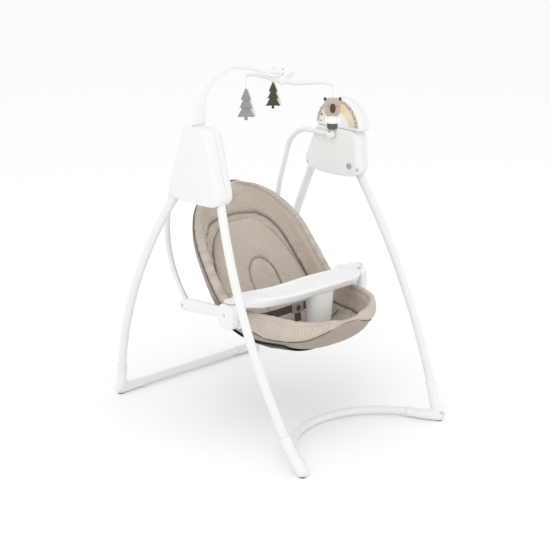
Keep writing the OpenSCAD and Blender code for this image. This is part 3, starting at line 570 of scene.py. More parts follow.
def bucket(t, a, grow):
    """A point of the seat form: rib t runs smoothly through the stations, and at angle a it is half width times sin a across
    and depth times cos a down its lean, each to the power 1 / 1.3, the form being grown outwards by grow. Millimetres."""
    r = through(seat_ribs, t)
    y, z, lean, half, depth = (r[..., k] for k in range(5))
    lean = np.radians(lean)
    s, c = np.sign(np.sin(a)) * np.abs(np.sin(a)) ** (1 / 1.3), np.abs(np.cos(a)) ** (1 / 1.3)
    x = np.maximum(3, half + grow) * s
    d = np.maximum(3, depth + grow) * c
    return np.stack(np.broadcast_arrays(x, y + np.sin(lean) * d, z - np.cos(lean) * d), -1)


t, a = np.meshgrid(np.linspace(3.2, 9.6, 90), np.radians(np.linspace(-1, 1, 80)), indexing="ij")
a = a * (34 + 16 * np.clip((t - 3.2) / 3.5, 0, 1))
rib_wave = 0.9 * np.clip(np.cos(t * 9.0), 0, 1) ** 8
shell = surface("seat_shell_bucket", bucket(t, a, 4.0 + rib_wave) / 1000)
thicken(shell, 0.0034)
shell.data.materials.append(black_plastic)
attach(shell, "seat")
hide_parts("seat_shell")


# ---- seat liner ----
# A quilted polyester liner filled with wadding: a plump band runs round the rim as far as a
# sewn groove, the middle is a softer panel, and the foot end is gathered into a roll.
def weave(name, light, dark, seam_code, pitch, under_code=None):
    """Fine ribbed polyester: thread ridges pitch metres apart along the cloth's own u, crossed by shorter ones along v. The attribute
    seam darkens stitched lines, and the attribute under turns the colour to the plain lining's."""
    m = bpy.data.materials.new(name)
    m.use_nodes = True
    t = m.node_tree
    shader = t.nodes["Principled BSDF"]
    uv = add(t, "ShaderNodeUVMap", {"uv_map": "cloth"}).outputs["UV"]
    where = add(t, "ShaderNodeTexCoord").outputs["Object"]
    drift = add(t, "ShaderNodeTexNoise", Vector=uv, Scale=40.0, Detail=2.0)
    bent = add(t, "ShaderNodeVectorMath", {"operation": "MULTIPLY_ADD"}, i0=drift.outputs["Color"], i1=(0.0012, 0.0012, 0.0), i2=uv)
    split = add(t, "ShaderNodeSeparateXYZ", Vector=bent.outputs[0])
    ridges = []
    for socket, size in (("X", pitch), ("Y", pitch * 0.8)):
        turn = add(t, "ShaderNodeMath", {"operation": "MULTIPLY"}, i0=split.outputs[socket], i1=2 * math.pi / size)
        ridges.append(add(t, "ShaderNodeMath", {"operation": "SINE"}, i0=turn.outputs[0]).outputs[0])
    cross = add(t, "ShaderNodeMath", {"operation": "MULTIPLY"}, i0=ridges[0], i1=ridges[1])
    both = add(t, "ShaderNodeMath", {"operation": "MULTIPLY_ADD"}, i0=cross.outputs[0], i1=0.55, i2=ridges[1])
    level = add(t, "ShaderNodeMapRange", Value=both.outputs[0], From_Min=-1.4, From_Max=1.4)
    slub = add(t, "ShaderNodeTexNoise", Vector=where, Scale=26.0, Detail=5.0)
    shade = add(t, "ShaderNodeMath", {"operation": "MULTIPLY_ADD"}, i0=slub.outputs["Fac"], i1=0.5, i2=level.outputs["Result"])
    shade = add(t, "ShaderNodeMapRange", Value=shade.outputs[0], From_Min=0.1, From_Max=1.35)
    cloth = add(t, "ShaderNodeMix", {"data_type": "RGBA"}, i0=shade.outputs["Result"], i6=linear(dark), i7=linear(light))
    if under_code:
        under = add(t, "ShaderNodeAttribute", {"attribute_name": "under"})
        plain = add(t, "ShaderNodeMapRange", Value=shade.outputs["Result"], To_Min=0.86, To_Max=1.1)
        lining = add(t, "ShaderNodeVectorMath", {"operation": "SCALE"}, i0=linear(under_code)[:3], Scale=plain.outputs["Result"])
        cloth = add(t, "ShaderNodeMix", {"data_type": "RGBA"}, i0=under.outputs["Fac"], i6=cloth.outputs[2], i7=lining.outputs[0])
    seam = add(t, "ShaderNodeAttribute", {"attribute_name": "seam"})
    whole = add(t, "ShaderNodeMix", {"data_type": "RGBA"}, i0=seam.outputs["Fac"], i6=cloth.outputs[2], i7=linear(seam_code))
    t.links.new(whole.outputs[2], shader.inputs["Base Color"])
    shader.inputs["Roughness"].default_value = 0.88
    shader.inputs["Sheen Weight"].default_value = 0.25
    shader.inputs["Sheen Roughness"].default_value = 0.5
    shader.inputs["Specular IOR Level"].default_value = 0.25
    bump = add(t, "ShaderNodeBump", Height=both.outputs[0], Strength=0.9, Distance=0.0006)
    creases = add(t, "ShaderNodeTexNoise", Vector=where, Scale=55.0, Detail=3.0)
    bump = add(t, "ShaderNodeBump", Height=creases.outputs["Fac"], Strength=0.7, Distance=0.004, Normal=bump.outputs["Normal"])
    t.links.new(bump.outputs["Normal"], shader.inputs["Normal"])
    return m


def mark(piece, name, values):
    """Stores one number a point as an attribute."""
    piece.data.attributes.new(name, "FLOAT", "POINT").data.foreach_set("value", values.ravel())


def smooth_least(p, *fields):
    """The least of several distances, rounded where two are alike: the -1/p power of the sum of their -p powers."""
    return sum(np.maximum(f, 0.5) ** -p for f in fields) ** (-1 / p)


# the ribs of the real cloth are taken as 1.6 mm apart; they are drawn 6.2 mm apart, so that they show at this distance
ribbed_cloth = weave("ribbed_polyester_beige", "DCD2C6", "B5A99C", "786C60", 0.0062, "A99D8F")
n_t, n_out, n_rim, n_in = 210, 70, 12, 150
full = math.radians(88.0)
turns = np.linspace(0, math.pi, n_rim + 2)[1:-1]
angle = np.concatenate([np.linspace(-full, full, n_out), np.full(n_rim, full), np.linspace(full, -full, n_in), np.full(n_rim, -full)])
share = np.concatenate([np.zeros(n_out), 0.5 - 0.5 * np.cos(turns), np.ones(n_in), 0.5 + 0.5 * np.cos(turns)])
lift = np.concatenate([np.zeros(n_out), np.sin(turns), np.zeros(n_in), np.sin(turns)])
rows = np.linspace(0, 13, n_t)
t, a = np.meshgrid(rows, angle, indexing="ij")
base = bucket(t, a, -26.0 * share[None])
lean = np.radians(through(seat_ribs, rows)[:, 2])
out_dir = np.stack([np.zeros(n_t), -np.sin(lean), np.cos(lean)], 1)
inner = slice(n_out + n_rim, n_out + n_rim + n_in)
step = np.linalg.norm(np.diff(base[:, inner], axis=1), axis=2)
run = np.concatenate([np.zeros((n_t, 1)), np.cumsum(step, 1)], 1)
from_side = np.minimum(run, run[:, -1:] - run)
spine = base[:, inner][:, n_in // 2]
spine_run = np.concatenate([[0], np.cumsum(np.linalg.norm(np.diff(spine, axis=0), axis=1))])
from_head, from_foot = spine_run[:, None] + 0 * run, (spine_run[-1] - spine_run)[:, None] + 0 * run
D = smooth_least(3.2, from_side + 12, from_head * 0.74 + 6, from_foot + 18)
band = 74.0


def ripple(s, waves, seed):
    """A sum of sines of several lengths along s, each with a fixed phase."""
    phase = np.random.default_rng(seed).uniform(0, 2 * math.pi, len(waves))
    return sum(h * np.sin(2 * math.pi * s / w + f) for (w, h), f in zip(waves, phase))


along = spine_run[:, None] + np.abs(run - run[:, -1:] / 2) * 0.35
side_sign = np.sign(run - run[:, -1:] / 2)
gather = ripple(along * 1.0 + 9 * side_sign, ((31, 0.5), (19, 0.35), (53, 0.5)), 3)
puff = 9.0 * np.clip(np.sin(math.pi * np.clip(D / band, 0, 1)), 0, 1) ** 0.7 * (D < band)
puff += 4.5 * (1 - np.exp(-np.clip(D - band, 0, None) / 26))
puff -= 6.0 * np.exp(-((D - band) / 4.2) ** 2)
puff += gather * 3.2 * np.exp(-np.abs(D - band) / 24)
foot_roll = np.exp(-((from_foot - 30) / 24.0) ** 2)
puff += 7.0 * foot_roll + foot_roll * ripple(run, ((26, 1.9), (15, 1.0), (41, 2.0)), 5)
puff -= 6.5 * np.exp(-((from_foot - 62) / 4.5) ** 2) * (from_side > 40)
puff += ripple(along, ((97, 0.5), (61, 0.4)), 11) + ripple(run, ((83, 0.5), (57, 0.35)), 12)
puff += 13.0 * np.clip((from_side - 90) / 90, 0, 1) ** 1.5 * np.clip((from_head - 90) / 80, 0, 1) * np.clip((from_foot - 190) / 90, 0, 1)
puff *= np.clip(from_side / 12, 0, 1)
grow = np.broadcast_to(-26.0 * share[None], t.shape).copy()
grow[:, inner] -= puff
seam_at = 84 - 24 * np.clip((rows - 6.2) / 2.6, 0, 1) ** 1.5
out_angle = np.abs(np.linspace(-88, 88, n_out))[None]
rolled = np.clip((out_angle - seam_at[:, None]) / (88.5 - seam_at[:, None]), 0, 1)
grow[:, :n_out] += np.clip((rows[:, None] - 6.2) / 2.5, 0, 1) * 9.0 * np.sin(math.pi * rolled) ** 0.8
grow[:, :n_out] += np.sin(math.pi * rolled) * 1.6 * ripple(spine_run[:, None] + 0 * out_angle, ((37, 0.6), (23, 0.5)), 41)
grow[:, :n_out] -= 2.0 * np.exp(-((out_angle - seam_at[:, None]) / 3.0) ** 2)
liner = bucket(t, a, grow)
roll_wave = 1 + 0.10 * ripple(spine_run[:, None] + 0 * t, ((47, 0.6), (29, 0.5)), 21)
liner += (lift[None] * 9.0 * roll_wave)[..., None] * out_dir[:, None]
side_len = np.zeros(t.shape)
side_len[:, inner] = run - run[:, -1:] / 2
side_len[:, :n_out] = np.linspace(-1, 1, n_out) * run[:, -1:] / 2
side_len[:, n_out:n_out + n_rim] = run[:, -1:] / 2
side_len[:, -n_rim:] = run[:, -1:] / 2
uv = np.stack([side_len, np.broadcast_to(spine_run[:, None], t.shape)], -1) / 1000


def end_caps(grid, reach):
    """Rows that close both ends of a stack of rings: each ring shrinks to its middle as a quarter ellipse of depth reach."""
    caps = []
    for ring, nxt in ((grid[0], grid[1]), (grid[-1], grid[-2])):
        mid = ring.mean(0)
        way = mid - nxt.mean(0)
        way = way / np.linalg.norm(way) * reach
        w = np.linspace(0, math.pi / 2, 9)[1:]
        caps.append(np.stack([mid + math.cos(v) * (ring - mid) + math.sin(v) * way for v in w]))
    return np.concatenate([caps[0][::-1], grid, caps[1]]), 8


def pad_edges(field, extra):
    """The first and last rows of a field repeated extra times, for the rows that close the ends."""
    return np.concatenate([np.repeat(field[:1], extra, 0), field, np.repeat(field[-1:], extra, 0)])


liner_all, extra = end_caps(liner, 8.0)
seam = np.zeros(t.shape)
seam[:, inner] = np.exp(-((D - band) / 2.3) ** 2) * (from_side > 20) + 0.8 * np.exp(-((from_foot - 62) / 2.6) ** 2) * (from_side > 40)
under = np.zeros(t.shape)
edge = np.abs(np.linspace(-88, 88, n_out))
under[:, :n_out] = (1 / (1 + np.exp((edge[None] - seam_at[:, None]) / 0.5))) * np.clip((rows[:, None] - 0.6) / 0.2, 0, 1)
pad = surface("seat_liner", liner_all / 1000, close_v=True, uv=pad_edges(uv, extra), merge=False)
mark(pad, "seam", np.clip(pad_edges(seam, extra), 0, 1))
mark(pad, "under", pad_edges(under, extra))
pad.data.materials.append(ribbed_cloth)


def turn_out(piece):
    """Joins the points that coincide at the poles and turns every face outwards."""
    bm = bmesh.new()
    bm.from_mesh(piece.data)
    bmesh.ops.remove_doubles(bm, verts=bm.verts, dist=2e-5)
    bmesh.ops.recalc_face_normals(bm, faces=bm.faces)
    bm.to_mesh(piece.data)
    bm.free()
    piece.data.shade_smooth()


turn_out(pad)
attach(pad, "seat")
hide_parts("seat_pad")

# piping sewn into the liner's outer edge: a cord wrapped in the darker lining cloth
piping_cloth = plain_material("dark_piping_tape", "7D7265", 0.85, 0.0012, 0.0002)
right = bucket(rows, np.radians(seam_at), np.full(n_t, 0.6))
left = bucket(rows, -np.radians(seam_at), np.full(n_t, 0.6))


def bridge(p, q, way, n=24):
    """Half an ellipse from p to q that stands way off their middle."""
    f = np.linspace(0, math.pi, n)[1:-1, None]
    return (p + q) / 2 + np.cos(f) * (p - q) / 2 + np.sin(f) * way


foot_way = (spine[-1] - spine[-2]) / np.linalg.norm(spine[-1] - spine[-2]) * 13
head_way = (spine[0] - spine[1]) / np.linalg.norm(spine[0] - spine[1]) * 13
loop = np.concatenate([right, bridge(right[-1], left[-1], foot_way), left[::-1], bridge(left[0], right[0], head_way)]) / 1000
v = np.linspace(0, 2 * math.pi, 10, endpoint=False)
tangent = np.roll(loop, -1, 0) - np.roll(loop, 1, 0)
tangent /= np.linalg.norm(tangent, axis=1, keepdims=True)
side_way = np.cross(tangent, (0.0, -0.6, 0.8))
side_way /= np.linalg.norm(side_way, axis=1, keepdims=True)
up_way = np.cross(tangent, side_way)
cord = loop[:, None] + 0.0024 * (np.cos(v)[None, :, None] * side_way[:, None] + np.sin(v)[None, :, None] * up_way[:, None])
piping = surface("liner_piping", cord, close_u=True, close_v=True)
piping.data.materials.append(piping_cloth)
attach(piping, "seat")

# ---- support cushion ----
# A loose arch-topped cushion of the same cloth on the middle of the liner, with a second
# sewn arch inside it; its wadding swells between the seams.
n_p, n_q = 150, 120
p = np.linspace(0, 1, n_p)
q = np.linspace(-1, 1, n_q)
rise = np.clip(p / 0.5, 0, 1)
half_turn = 56 * np.sqrt(np.clip(1 - (1 - rise) ** 2.0, 0, 1)) * (1 - 0.10 * np.clip((p - 0.55) / 0.45, 0, 1))
half_turn = np.maximum(half_turn, 0.05)
rows_p = 2.35 + 5.85 * p
P, Q = np.meshgrid(p, q, indexing="ij")
T = np.broadcast_to(rows_p[:, None], P.shape)
A = np.radians(half_turn[:, None] * Q)
floor_line = bucket(T, A, -33.0)
across = np.concatenate([np.zeros((n_p, 1)), np.cumsum(np.linalg.norm(np.diff(floor_line, axis=1), axis=2), 1)], 1)
down = np.concatenate([[0], np.cumsum(np.linalg.norm(np.diff(floor_line[:, n_q // 2], axis=0), axis=1))])
e_side = np.minimum(across, across[:, -1:] - across)
e_top, e_low = down[:, None] + 0 * P, (down[-1] - down)[:, None] + 0 * P
E = smooth_least(4.0, e_side, e_top, e_low)
plump = 22.0 * (1 - np.exp(-E / 9.0)) + 17.0 * np.clip(E / 95, 0, 1) ** 1.3
middle_way = np.abs(across - across[:, -1:] / 2)
arch = 66 - np.sqrt(middle_way ** 2 + (np.clip(222 - down[:, None], 0, None) * 0.85) ** 2)
groove = np.exp(-(arch / 3.8) ** 2)
plump -= 8.0 * groove
plump += 4.0 * np.exp(-((arch - 26) / 20) ** 2) + 3.0 * np.exp(-((arch + 30) / 20) ** 2)
pulls = ripple(down[:, None] + 0.5 * across, ((34, 0.6), (21, 0.45)), 31)
plump += pulls * 1.8 * np.exp(-np.abs(arch) / 14) + pulls * 0.8 * np.exp(-E / 12)
plump += ripple(across, ((71, 0.4), (45, 0.3)), 33)
plump *= np.clip(E / 6, 0, 1)
front = bucket(T, A, -32.0 - plump)
back = bucket(T, A, np.full(P.shape, -30.0))
both = np.concatenate([front, back[:, ::-1]], 1) / 1000
uv2 = np.stack([across - across[:, -1:] / 2, np.broadcast_to(down[:, None], P.shape)], -1) / 1000
cushion = surface("support_cushion", both, close_v=True, uv=np.concatenate([uv2, uv2[:, ::-1]], 1), merge=False)
mark(cushion, "seam", np.concatenate([np.clip(0.9 * np.exp(-(arch / 2.2) ** 2) + np.exp(-(E / 2.2) ** 2), 0, 1), np.zeros(P.shape)], 1))
cushion.data.materials.append(ribbed_cloth)
turn_out(cushion)
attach(cushion, "seat")
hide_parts("support_insert")

# ---- harness and buckle ----
# Dark grey polyester webbing, 25 mm wide: two waist straps and a crotch strap that meet in a
# three-point buckle with a push button.
webbing = bpy.data.materials.new("herringbone_polyester_webbing")
webbing.use_nodes = True
tree = webbing.node_tree
shader = tree.nodes["Principled BSDF"]
shader.inputs["Roughness"].default_value = 0.8
where = add(tree, "ShaderNodeTexCoord").outputs["Object"]
# picks 2 mm apart, as coarse as shows
picks = add(tree, "ShaderNodeTexWave", {"bands_direction": "DIAGONAL"}, Vector=where, Scale=150.0, Distortion=0.6)
tone = add(tree, "ShaderNodeMix", {"data_type": "RGBA"}, i0=picks.outputs["Fac"], i6=linear("55524F"), i7=linear("716D69"))
tree.links.new(tone.outputs[2], shader.inputs["Base Color"])
bump = add(tree, "ShaderNodeBump", Height=picks.outputs["Fac"], Strength=0.5, Distance=0.0003)
tree.links.new(bump.outputs["Normal"], shader.inputs["Normal"])
for word, side in (("left", -1), ("right", 1)):
    knots = [[side * 22, -93, 353], [side * 50, -95, 354], [side * 90, -92, 352], [side * 120, -84, 349], [side * 141, -68, 347]]
    line = through(knots, np.linspace(0, 4, 40)) / 1000
    strap = surface("waist_strap_" + word, swept(line, 0.0012, 0.0125, (0.0, 0.0, 1.0), 28, 6.0), close_v=True)
    strap.data.materials.append(webbing)
    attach(strap, "seat")
    if side < 0:
        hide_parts("harness_straps")
line = through([[0, -94, 337], [0, -96, 326], [0, -98, 312], [0, -101, 303]], np.linspace(0, 3, 24)) / 1000
strap = surface("crotch_strap", swept(line, 0.0125, 0.0012, (0.0, 1.0, 0.0), 28, 6.0), close_v=True)
strap.data.materials.append(webbing)
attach(strap, "seat")


def signed_power(w, e):
    """The size of w raised to e, with w's sign."""
    return np.sign(w) * np.abs(w) ** e


def block(low, high, power=6.0, n=36):
    """A rounded box between two corners: a ball whose two sets of sines and cosines are each raised to 2 / power."""
    low, high = np.asarray(low, float), np.asarray(high, float)
    u, v = np.meshgrid(np.linspace(-math.pi / 2, math.pi / 2, n), np.linspace(0, 2 * math.pi, 2 * n, endpoint=False), indexing="ij")
    cu, su, cv, sv = (signed_power(w, 2 / power) for w in (np.cos(u), np.sin(u), np.cos(v), np.sin(v)))
    return ((low + high) / 2 + (high - low) / 2 * np.stack([cu * cv, cu * sv, su], -1)) / 1000


housing = surface("buckle_housing", block((-23, -99, 335), (23, -85, 371), 5.0), close_v=True)
housing.data.materials.append(grey_nylon)
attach(housing, "seat")
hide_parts("buckle")
red = plain_material("dull_red_moulded_acetal", "8E4A44", 0.45, 0.0008, 0.00001)
push = surface("buckle_push", np.stack([np.column_stack([r * np.cos(pin_turn), np.full(28, y), 352 + r * np.sin(pin_turn)]) for y, r in (
    (-96.2, 0), (-96.2, 8.8), (-100.2, 8.8), (-101.0, 8.0), (-100.4, 0))]) / 1000, close_v=True)
push.data.materials.append(red)
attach(push, "buckle_button")
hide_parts("buckle_button")

# ---- recline lever ----
# A squeeze bar moulded in black nylon behind the seat's back, a loop that the fingers go through.
loop_turn = np.linspace(0, 2 * math.pi, 80, endpoint=False)
loop_x, loop_z = 39 * signed_power(np.cos(loop_turn), 0.4), 444 + 11 * signed_power(np.sin(loop_turn), 0.4)
centre_line = np.column_stack([loop_x, np.full(80, 177.0), loop_z]) / 1000
ring = np.linspace(0, 2 * math.pi, 16, endpoint=False)
outward = np.column_stack([np.cos(loop_turn), np.zeros(80), np.sin(loop_turn)])
bar = centre_line[:, None] + 0.004 * np.cos(ring)[None, :, None] * outward[:, None] + 0.0048 * np.sin(ring)[None, :, None] * np.array([0, 1.0, 0])
lever = surface("recline_squeeze_bar", bar, close_u=True, close_v=True)
lever.data.materials.append(black_plastic)
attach(lever, "recline_lever")
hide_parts("recline_lever")

# ---- tray and crotch post ----
# A white ABS tray in one moulding: a slanted front face, a shallow well inside a raised lip,
# and ends that dip to sit on the hubs. A hollow post under it goes down between the legs.
tray_ribs = [
    [0, -225, -250, -130, 430, 466], [60, -219, -243, -126, 427, 463], [115, -203, -225, -113, 419, 456],
    [160, -180, -198, -90, 412, 449], [195, -158, -172, -64, 408, 443], [220, -140, -150, -48, 408, 438],
    [240, -125, -132, -62, 404, 434],
]
both_sides = np.array([[-r[0], *r[1:]] for r in tray_ribs[:0:-1]] + tray_ribs, float)
n_x, n_ring = 161, 128
k = np.linspace(0, len(both_sides) - 1, n_x)
st = through(both_sides, k)
turn = np.linspace(0, 2 * math.pi, n_ring, endpoint=False)
cx, cz = signed_power(np.cos(turn), 0.42), signed_power(np.sin(turn), 0.42)
x, y_low, y_high, y_back, z_low, z_high = (st[:, i:i + 1] for i in range(6))
h = (cz[None] + 1) / 2
w = (cx[None] + 1) / 2
y_front = y_low + (y_high - y_low) * h
ty = y_front + (y_back - y_front) * w
tz = z_low + (z_high - z_low) * h
mid_y, mid_z = ty.mean(1, keepdims=True), tz.mean(1, keepdims=True)
close = np.sqrt(np.clip(1 - (np.abs(x) / 241.5) ** 16, 0, 1))
dish = np.clip((0.80 - np.abs(cx[None] + 0.02)) / 0.16, 0, 1)
dish = dish * dish * (3 - 2 * dish) * (cz[None] > 0.6) * np.clip((188 - np.abs(x)) / 14, 0, 1)
ty = mid_y + (ty - mid_y) * (0.25 + 0.75 * close)
tz = mid_z + (tz - mid_z) * (0.25 + 0.75 * close) - 6.0 * dish
plate = np.stack(np.broadcast_arrays(x, ty, tz), -1) / 1000
plate = np.concatenate([np.broadcast_to(plate[:1].mean(1, keepdims=True), (1, n_ring, 3)), plate, np.broadcast_to(plate[-1:].mean(1, keepdims=True), (1, n_ring, 3))])
tray = surface("tray_moulding", plate, close_v=True)
tray.data.materials.append(moulding)
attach(tray, "tray")
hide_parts("tray")
for word, side in (("left", -1), ("right", 1)):
    low_x, high_x = sorted((226 * side, 274 * side))
    ear = surface("tray_ear_" + word, block((low_x, -104, 424.2), (high_x, -66, 433.2), 5.0), close_v=True)
    ear.data.materials.append(moulding)
    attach(ear, "tray")
height = np.concatenate([[332, 332, 332.6, 334.5, 338], np.linspace(344, 426, 12), [431]])
grown = np.concatenate([[0.0, 0.90, 0.955, 0.985, 1.0], np.ones(12), [1.0]])
post_x = (39 + (height - 312) / 115 * 10) * grown
post_y = (23.4 + (height - 312) / 115 * 6) * grown
turn = np.linspace(0, 2 * math.pi, 64, endpoint=False)
cx, cy = signed_power(np.cos(turn), 0.84), signed_power(np.sin(turn), 0.84)
post = np.stack([post_x[:, None] * cx, -188 + post_y[:, None] * cy, np.broadcast_to(height[:, None], (len(height), 64))], -1) / 1000
post = surface("crotch_post_moulding", np.concatenate([post, np.broadcast_to(post[-1:].mean(1, keepdims=True), (1, 64, 3))]), close_v=True)
post.data.materials.append(moulding)
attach(post, "tray")
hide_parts("crotch_post")
catch = surface("tray_catch", block((274.3, -99, 424.6), (279.3, -71, 432.4), 4.0), close_v=True)
catch.data.materials.append(panel_grey)
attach(catch, "tray_latch")
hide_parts("tray_latch")

# ---- toy arm ----
# A curved white ABS blade that plugs into the left housing's top, broad at its root and
# narrowing over the arch to a rounded tip.
arm_ribs = np.array([
    [0, 934, 1.0], [0, 972, 0.96], [8, 1012, 0.9], [28, 1043, 0.78], [60, 1070, 0.62], [95, 1086, 0.5],
    [123, 1090, 0.45], [165, 1082, 0.38], [215, 1067, 0.32], [288, 1057, 0.3],
])
yaw = math.radians(-10.8)
curve = through(arm_ribs, np.linspace(0, 9, 150))
line = np.column_stack([-275 + curve[:, 0] * math.cos(yaw), 26 + curve[:, 0] * math.sin(yaw), curve[:, 1]]) / 1000
end_round = np.sqrt(np.clip(1 - np.clip((np.linspace(0, 9, 150) - 8.82) / 0.181, 0, 1) ** 2, 0, 1))
wide = np.maximum(curve[:, 2] * 0.021 * end_round, 0.0004)
blade = surface("toy_arm_blade", swept(line, wide, np.maximum(0.007 * end_round, 0.0004), (-math.sin(yaw), math.cos(yaw), 0.0), 44, 3.2), close_v=True)
blade.data.materials.append(moulding)
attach(blade, "toy_arm")
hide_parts("toy_arm")
plug_rows = [(906, 0), (906, 9), (907, 10), (934, 10), (934, 17), (936, 19.5), (941, 20), (944, 17), (944, 0)]
foot = surface("toy_arm_plug", np.stack([np.column_stack([-275 + r * np.cos(turn), 26 + r * np.sin(turn) * (0.55 if z > 930 and r > 10 else 1), np.full(64, z)]) for z, r in plug_rows]) / 1000, close_v=True)
foot.data.materials.append(moulding)
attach(foot, "toy_arm")

# ---- branches ----
# A white moulded hub with four twig-shaped arms, lightly barked and lumpy at their nodes,
# that turns on a pin in the blade's tip.
bark = plain_material("white_ABS_moulded_with_bark_grain", "E8E7E5", 0.45, 0.004, 0.0006, 0.015)
hub = np.array([2.0, -27.0, 1036.0])
for word, way, r0, r1, knots in (
    ("grey_twig", [(-30, 10, -8), (-44, 60, 24)], 8.5, 4.4, (-70, 55, 1044)),
    ("dark_twig", [(24, 50, -14), (50, 90, 22)], 8.0, 4.4, (82, 102, 1047)),
    ("bear_twig", [(14, -50, -18), (26, -110, 14)], 9.5, 4.0, (46, -187, 1035)),
    ("short_twig", [(20, 4, 0), (36, 10, 6)], 7.5, 6.2, (56, -13, 1050)),
):
    w = np.linspace(0, 1, 60)[:, None]
    m = 1 - w
    path = m ** 3 * hub + 3 * m * m * w * (hub + way[0]) + 3 * m * w * w * (hub + way[1]) + w ** 3 * np.array(knots, float)
    radius = (r0 + (r1 - r0) * w[:, 0]) * (1 + 0.05 * np.sin(w[:, 0] * 23) + 0.10 * np.exp(-((w[:, 0] - 0.62) / 0.05) ** 2)) * np.sqrt(np.clip(1 - (w[:, 0] / 1.004) ** 40, 0.02, 1))
    twig = surface(word, swept(path / 1000, radius / 1000, radius / 1000, (0, 0, 1), 28), close_v=True)
    twig.data.materials.append(bark)
    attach(twig, "mobile")
    if word == "grey_twig":
        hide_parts("mobile_branches")
boss_rows = [(1022, 0), (1022, 9), (1023.5, 12), (1027, 13.4), (1040, 13.4), (1046, 12), (1048.4, 8), (1048.6, 3.2), (1066.8, 3.2), (1067, 5.6), (1071, 6), (1072, 4.6), (1072.2, 0)]
boss = surface("mobile_boss", np.stack([np.column_stack([2 + r * np.cos(turn), -27 + r * np.sin(turn), np.full(64, z)]) for z, r in boss_rows]) / 1000, close_v=True)
boss.data.materials.append(moulding)
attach(boss, "mobile")

# ---- hanging toys ----
# Two stuffed felt pines, each with a paler felt backing and stitched edge, and a small plush
# bear in shorts, all on short ribbons.
def felt(name, code, fleck_code, fibre=0.0016):
    """Pressed wool: a base and a fleck colour mixed by short random fibres, under a soft bump and a strong sheen."""
    m = bpy.data.materials.new(name)
    m.use_nodes = True
    t = m.node_tree
    shader = t.nodes["Principled BSDF"]
    where = add(t, "ShaderNodeTexCoord").outputs["Object"]
    hair = add(t, "ShaderNodeTexNoise", Vector=where, Scale=1 / fibre, Detail=5.0, Distortion=1.2)
    tone = add(t, "ShaderNodeMapRange", Value=hair.outputs["Fac"], From_Min=0.4, From_Max=0.66)
    mix = add(t, "ShaderNodeMix", {"data_type": "RGBA"}, i0=tone.outputs["Result"], i6=linear(code), i7=linear(fleck_code))
    t.links.new(mix.outputs[2], shader.inputs["Base Color"])
    shader.inputs["Roughness"].default_value = 0.95
    shader.inputs["Sheen Weight"].default_value = 0.4
    bump = add(t, "ShaderNodeBump", Height=hair.outputs["Fac"], Strength=0.8, Distance=0.0006)
    t.links.new(bump.outputs["Normal"], shader.inputs["Normal"])
    return m


def hang(points, tip, drop):
    """Turns a toy's own points (across, front to back, up) by -43 degrees and puts its top drop below the twig's tip."""
    c, s = math.cos(math.radians(-43)), math.sin(math.radians(-43))
    x, y, z = points[..., 0], points[..., 1], points[..., 2]
    return np.stack([c * x - s * y + tip[0], s * x + c * y + tip[1], z + tip[2] - drop], -1) / 1000


def closed_tips(rings):
    """The rings with one more at each end, all of its points at the mean of that end's ring."""
    tip, foot = (np.broadcast_to(end.mean(1, keepdims=True), end.shape) for end in (rings[:1], rings[-1:]))
    return np.concatenate([tip, rings, foot])


def pine(scale, thick, grow=0.0, shift=(0.0, 0.0), top=0.0):
    """A three-tier pine: width is a saw-tooth of height with drooping tips, and thickness goes with width to the power 0.35.
    Millimetres, tip at the top."""
    z = np.array([0, -0.8, -10, -20, -30, -37, -38.6, -38.2, -48, -58, -65, -66.6, -66.2, -76, -86, -94, -96.6, -97, -98, -106, -109.4, -110])
    w = np.array([0.4, 1.8, 5.4, 9.2, 12.6, 15.2, 14.6, 8.2, 12.2, 15.8, 19.2, 18.4, 11, 16, 20.8, 25, 24, 6, 5, 5, 4.6, 0.4])
    z = np.where(z < top, np.minimum(z, 0), z) * scale
    w = w * scale * 1.16 + grow
    v = np.linspace(0, 2 * math.pi, 48, endpoint=False)
    t = thick * (w / w.max()) ** 0.35
    x = w[:, None] * np.cos(v)
    droop = -2.5 * scale * (np.abs(np.cos(v))[None] ** 3) * (w[:, None] / w.max())
    g = np.stack([x + shift[0], t[:, None] * np.sin(v) + shift[1], z[:, None] + droop], -1)
    return closed_tips(g)


def wedge(scale, thick, shift):
    """The plain pale backing: width grows evenly from the tip to a rounded foot. Millimetres, tip at the top."""
    z = np.array([-1.0, -2, -20, -50, -80, -93, -97, -98]) * scale
    w = np.array([0.4, 1.2, 7.0, 15.5, 24.0, 27.5, 26.5, 24.0]) * scale
    v = np.linspace(0, 2 * math.pi, 40, endpoint=False)
    g = np.stack([w[:, None] * np.cos(v) + shift[0], thick * np.sin(v) + 0 * w[:, None] + shift[1], z[:, None] + 0 * v], -1)
    return closed_tips(g)


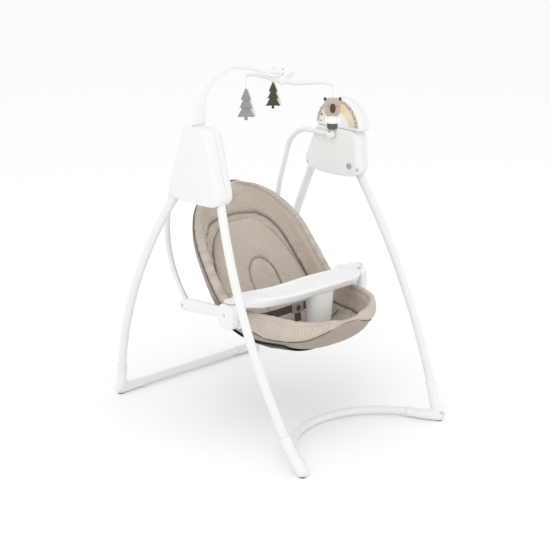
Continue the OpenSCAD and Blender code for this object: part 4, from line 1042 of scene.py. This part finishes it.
grey_felt = felt("grey_wool_felt", "86898B", "A9ABAC")
olive_felt = felt("dark_olive_wool_felt", "3A3A2F", "55543F")
pale_felt = felt("pale_wool_felt", "DDD9CC", "EDEAE0")
for word, tip, drop, scale, main in (("grey_tree", (-70, 55, 1044), 36, 0.86, grey_felt), ("dark_tree", (82, 102, 1047), 44, 0.74, olive_felt)):
    tree_front = surface(word + "_front", hang(pine(scale, 4.2, shift=(0, -1.6)), tip, drop), close_v=True)
    tree_back = surface(word + "_backing", hang(wedge(scale, 2.2, (5.5, 3.4)), tip, drop), close_v=True)
    string = surface(word + "_ribbon", swept(hang(np.array([[0, 0, -4.0], [0, 0, drop * 0.3], [0, 0, drop * 0.7], [0, 0, drop - 3.0]]), tip, drop), 0.0008, 0.0018, (1, 1, 0), 10), close_v=True)
    for piece, m in ((tree_front, main), (tree_back, pale_felt), (string, pale_felt)):
        piece.data.materials.append(m)
        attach(piece, word)
    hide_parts(word)

bear_fur = felt("rose_grey_short_plush", "B59F94", "CDBBB0", 0.002)
dark_fur = felt("dark_brown_short_plush", "4A3830", "5D483E", 0.002)
white_fur = felt("white_short_plush", "EFEDE9", "FAF8F5", 0.002)
grey_jersey = felt("dark_grey_cotton_jersey", "4C4E52", "64666A", 0.0016)
tip, drop = (46, -187, 1035), 38
parts = [
    ("bear_head", (-24, -17, -51), (24, 17, 0.5), 3.2, bear_fur), ("bear_muzzle", (-8.5, -22, -40), (8.5, -12, -13), 2.3, dark_fur),
    ("bear_ear_left", (-26, -6, -8), (-17, 4, 3), 2.3, dark_fur), ("bear_ear_right", (17, -6, -8), (26, 4, 3), 2.3, dark_fur),
    ("bear_body", (-15, -11, -80), (15, 11, -46), 2.5, white_fur), ("bear_shorts", (-15.6, -11.6, -92), (15.6, 11.6, -70), 3.0, grey_jersey),
    ("bear_leg_left", (-14, -9, -100), (-2, 6, -84), 2.4, bear_fur), ("bear_leg_right", (2, -9, -100), (14, 6, -84), 2.4, bear_fur),
    ("bear_arm_left", (-22, -8, -74), (-12, 6, -50), 2.3, white_fur), ("bear_arm_right", (12, -8, -74), (22, 6, -50), 2.3, white_fur),
    ("bear_eye_left", (-15.5, -18.4, -22), (-12.6, -15.4, -19), 2.0, dark_fur), ("bear_eye_right", (12.6, -18.4, -22), (15.5, -15.4, -19), 2.0, dark_fur),
]
for word, low, high, power, m in parts:
    part = surface(word, hang(block(low, high, power, 26) * 1000, tip, drop), close_v=True)
    part.data.materials.append(m)
    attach(part, "teddy_bear")
    if word == "bear_head":
        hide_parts("teddy_bear")
string = surface("bear_ribbon", swept(hang(np.array([[0, 0, -3.0], [0, 0, 10.0], [0, 0, 24.0], [0, 0, 35.0]]), tip, drop), 0.0008, 0.0018, (1, 1, 0), 10), close_v=True)
string.data.materials.append(pale_felt)
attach(string, "teddy_bear")
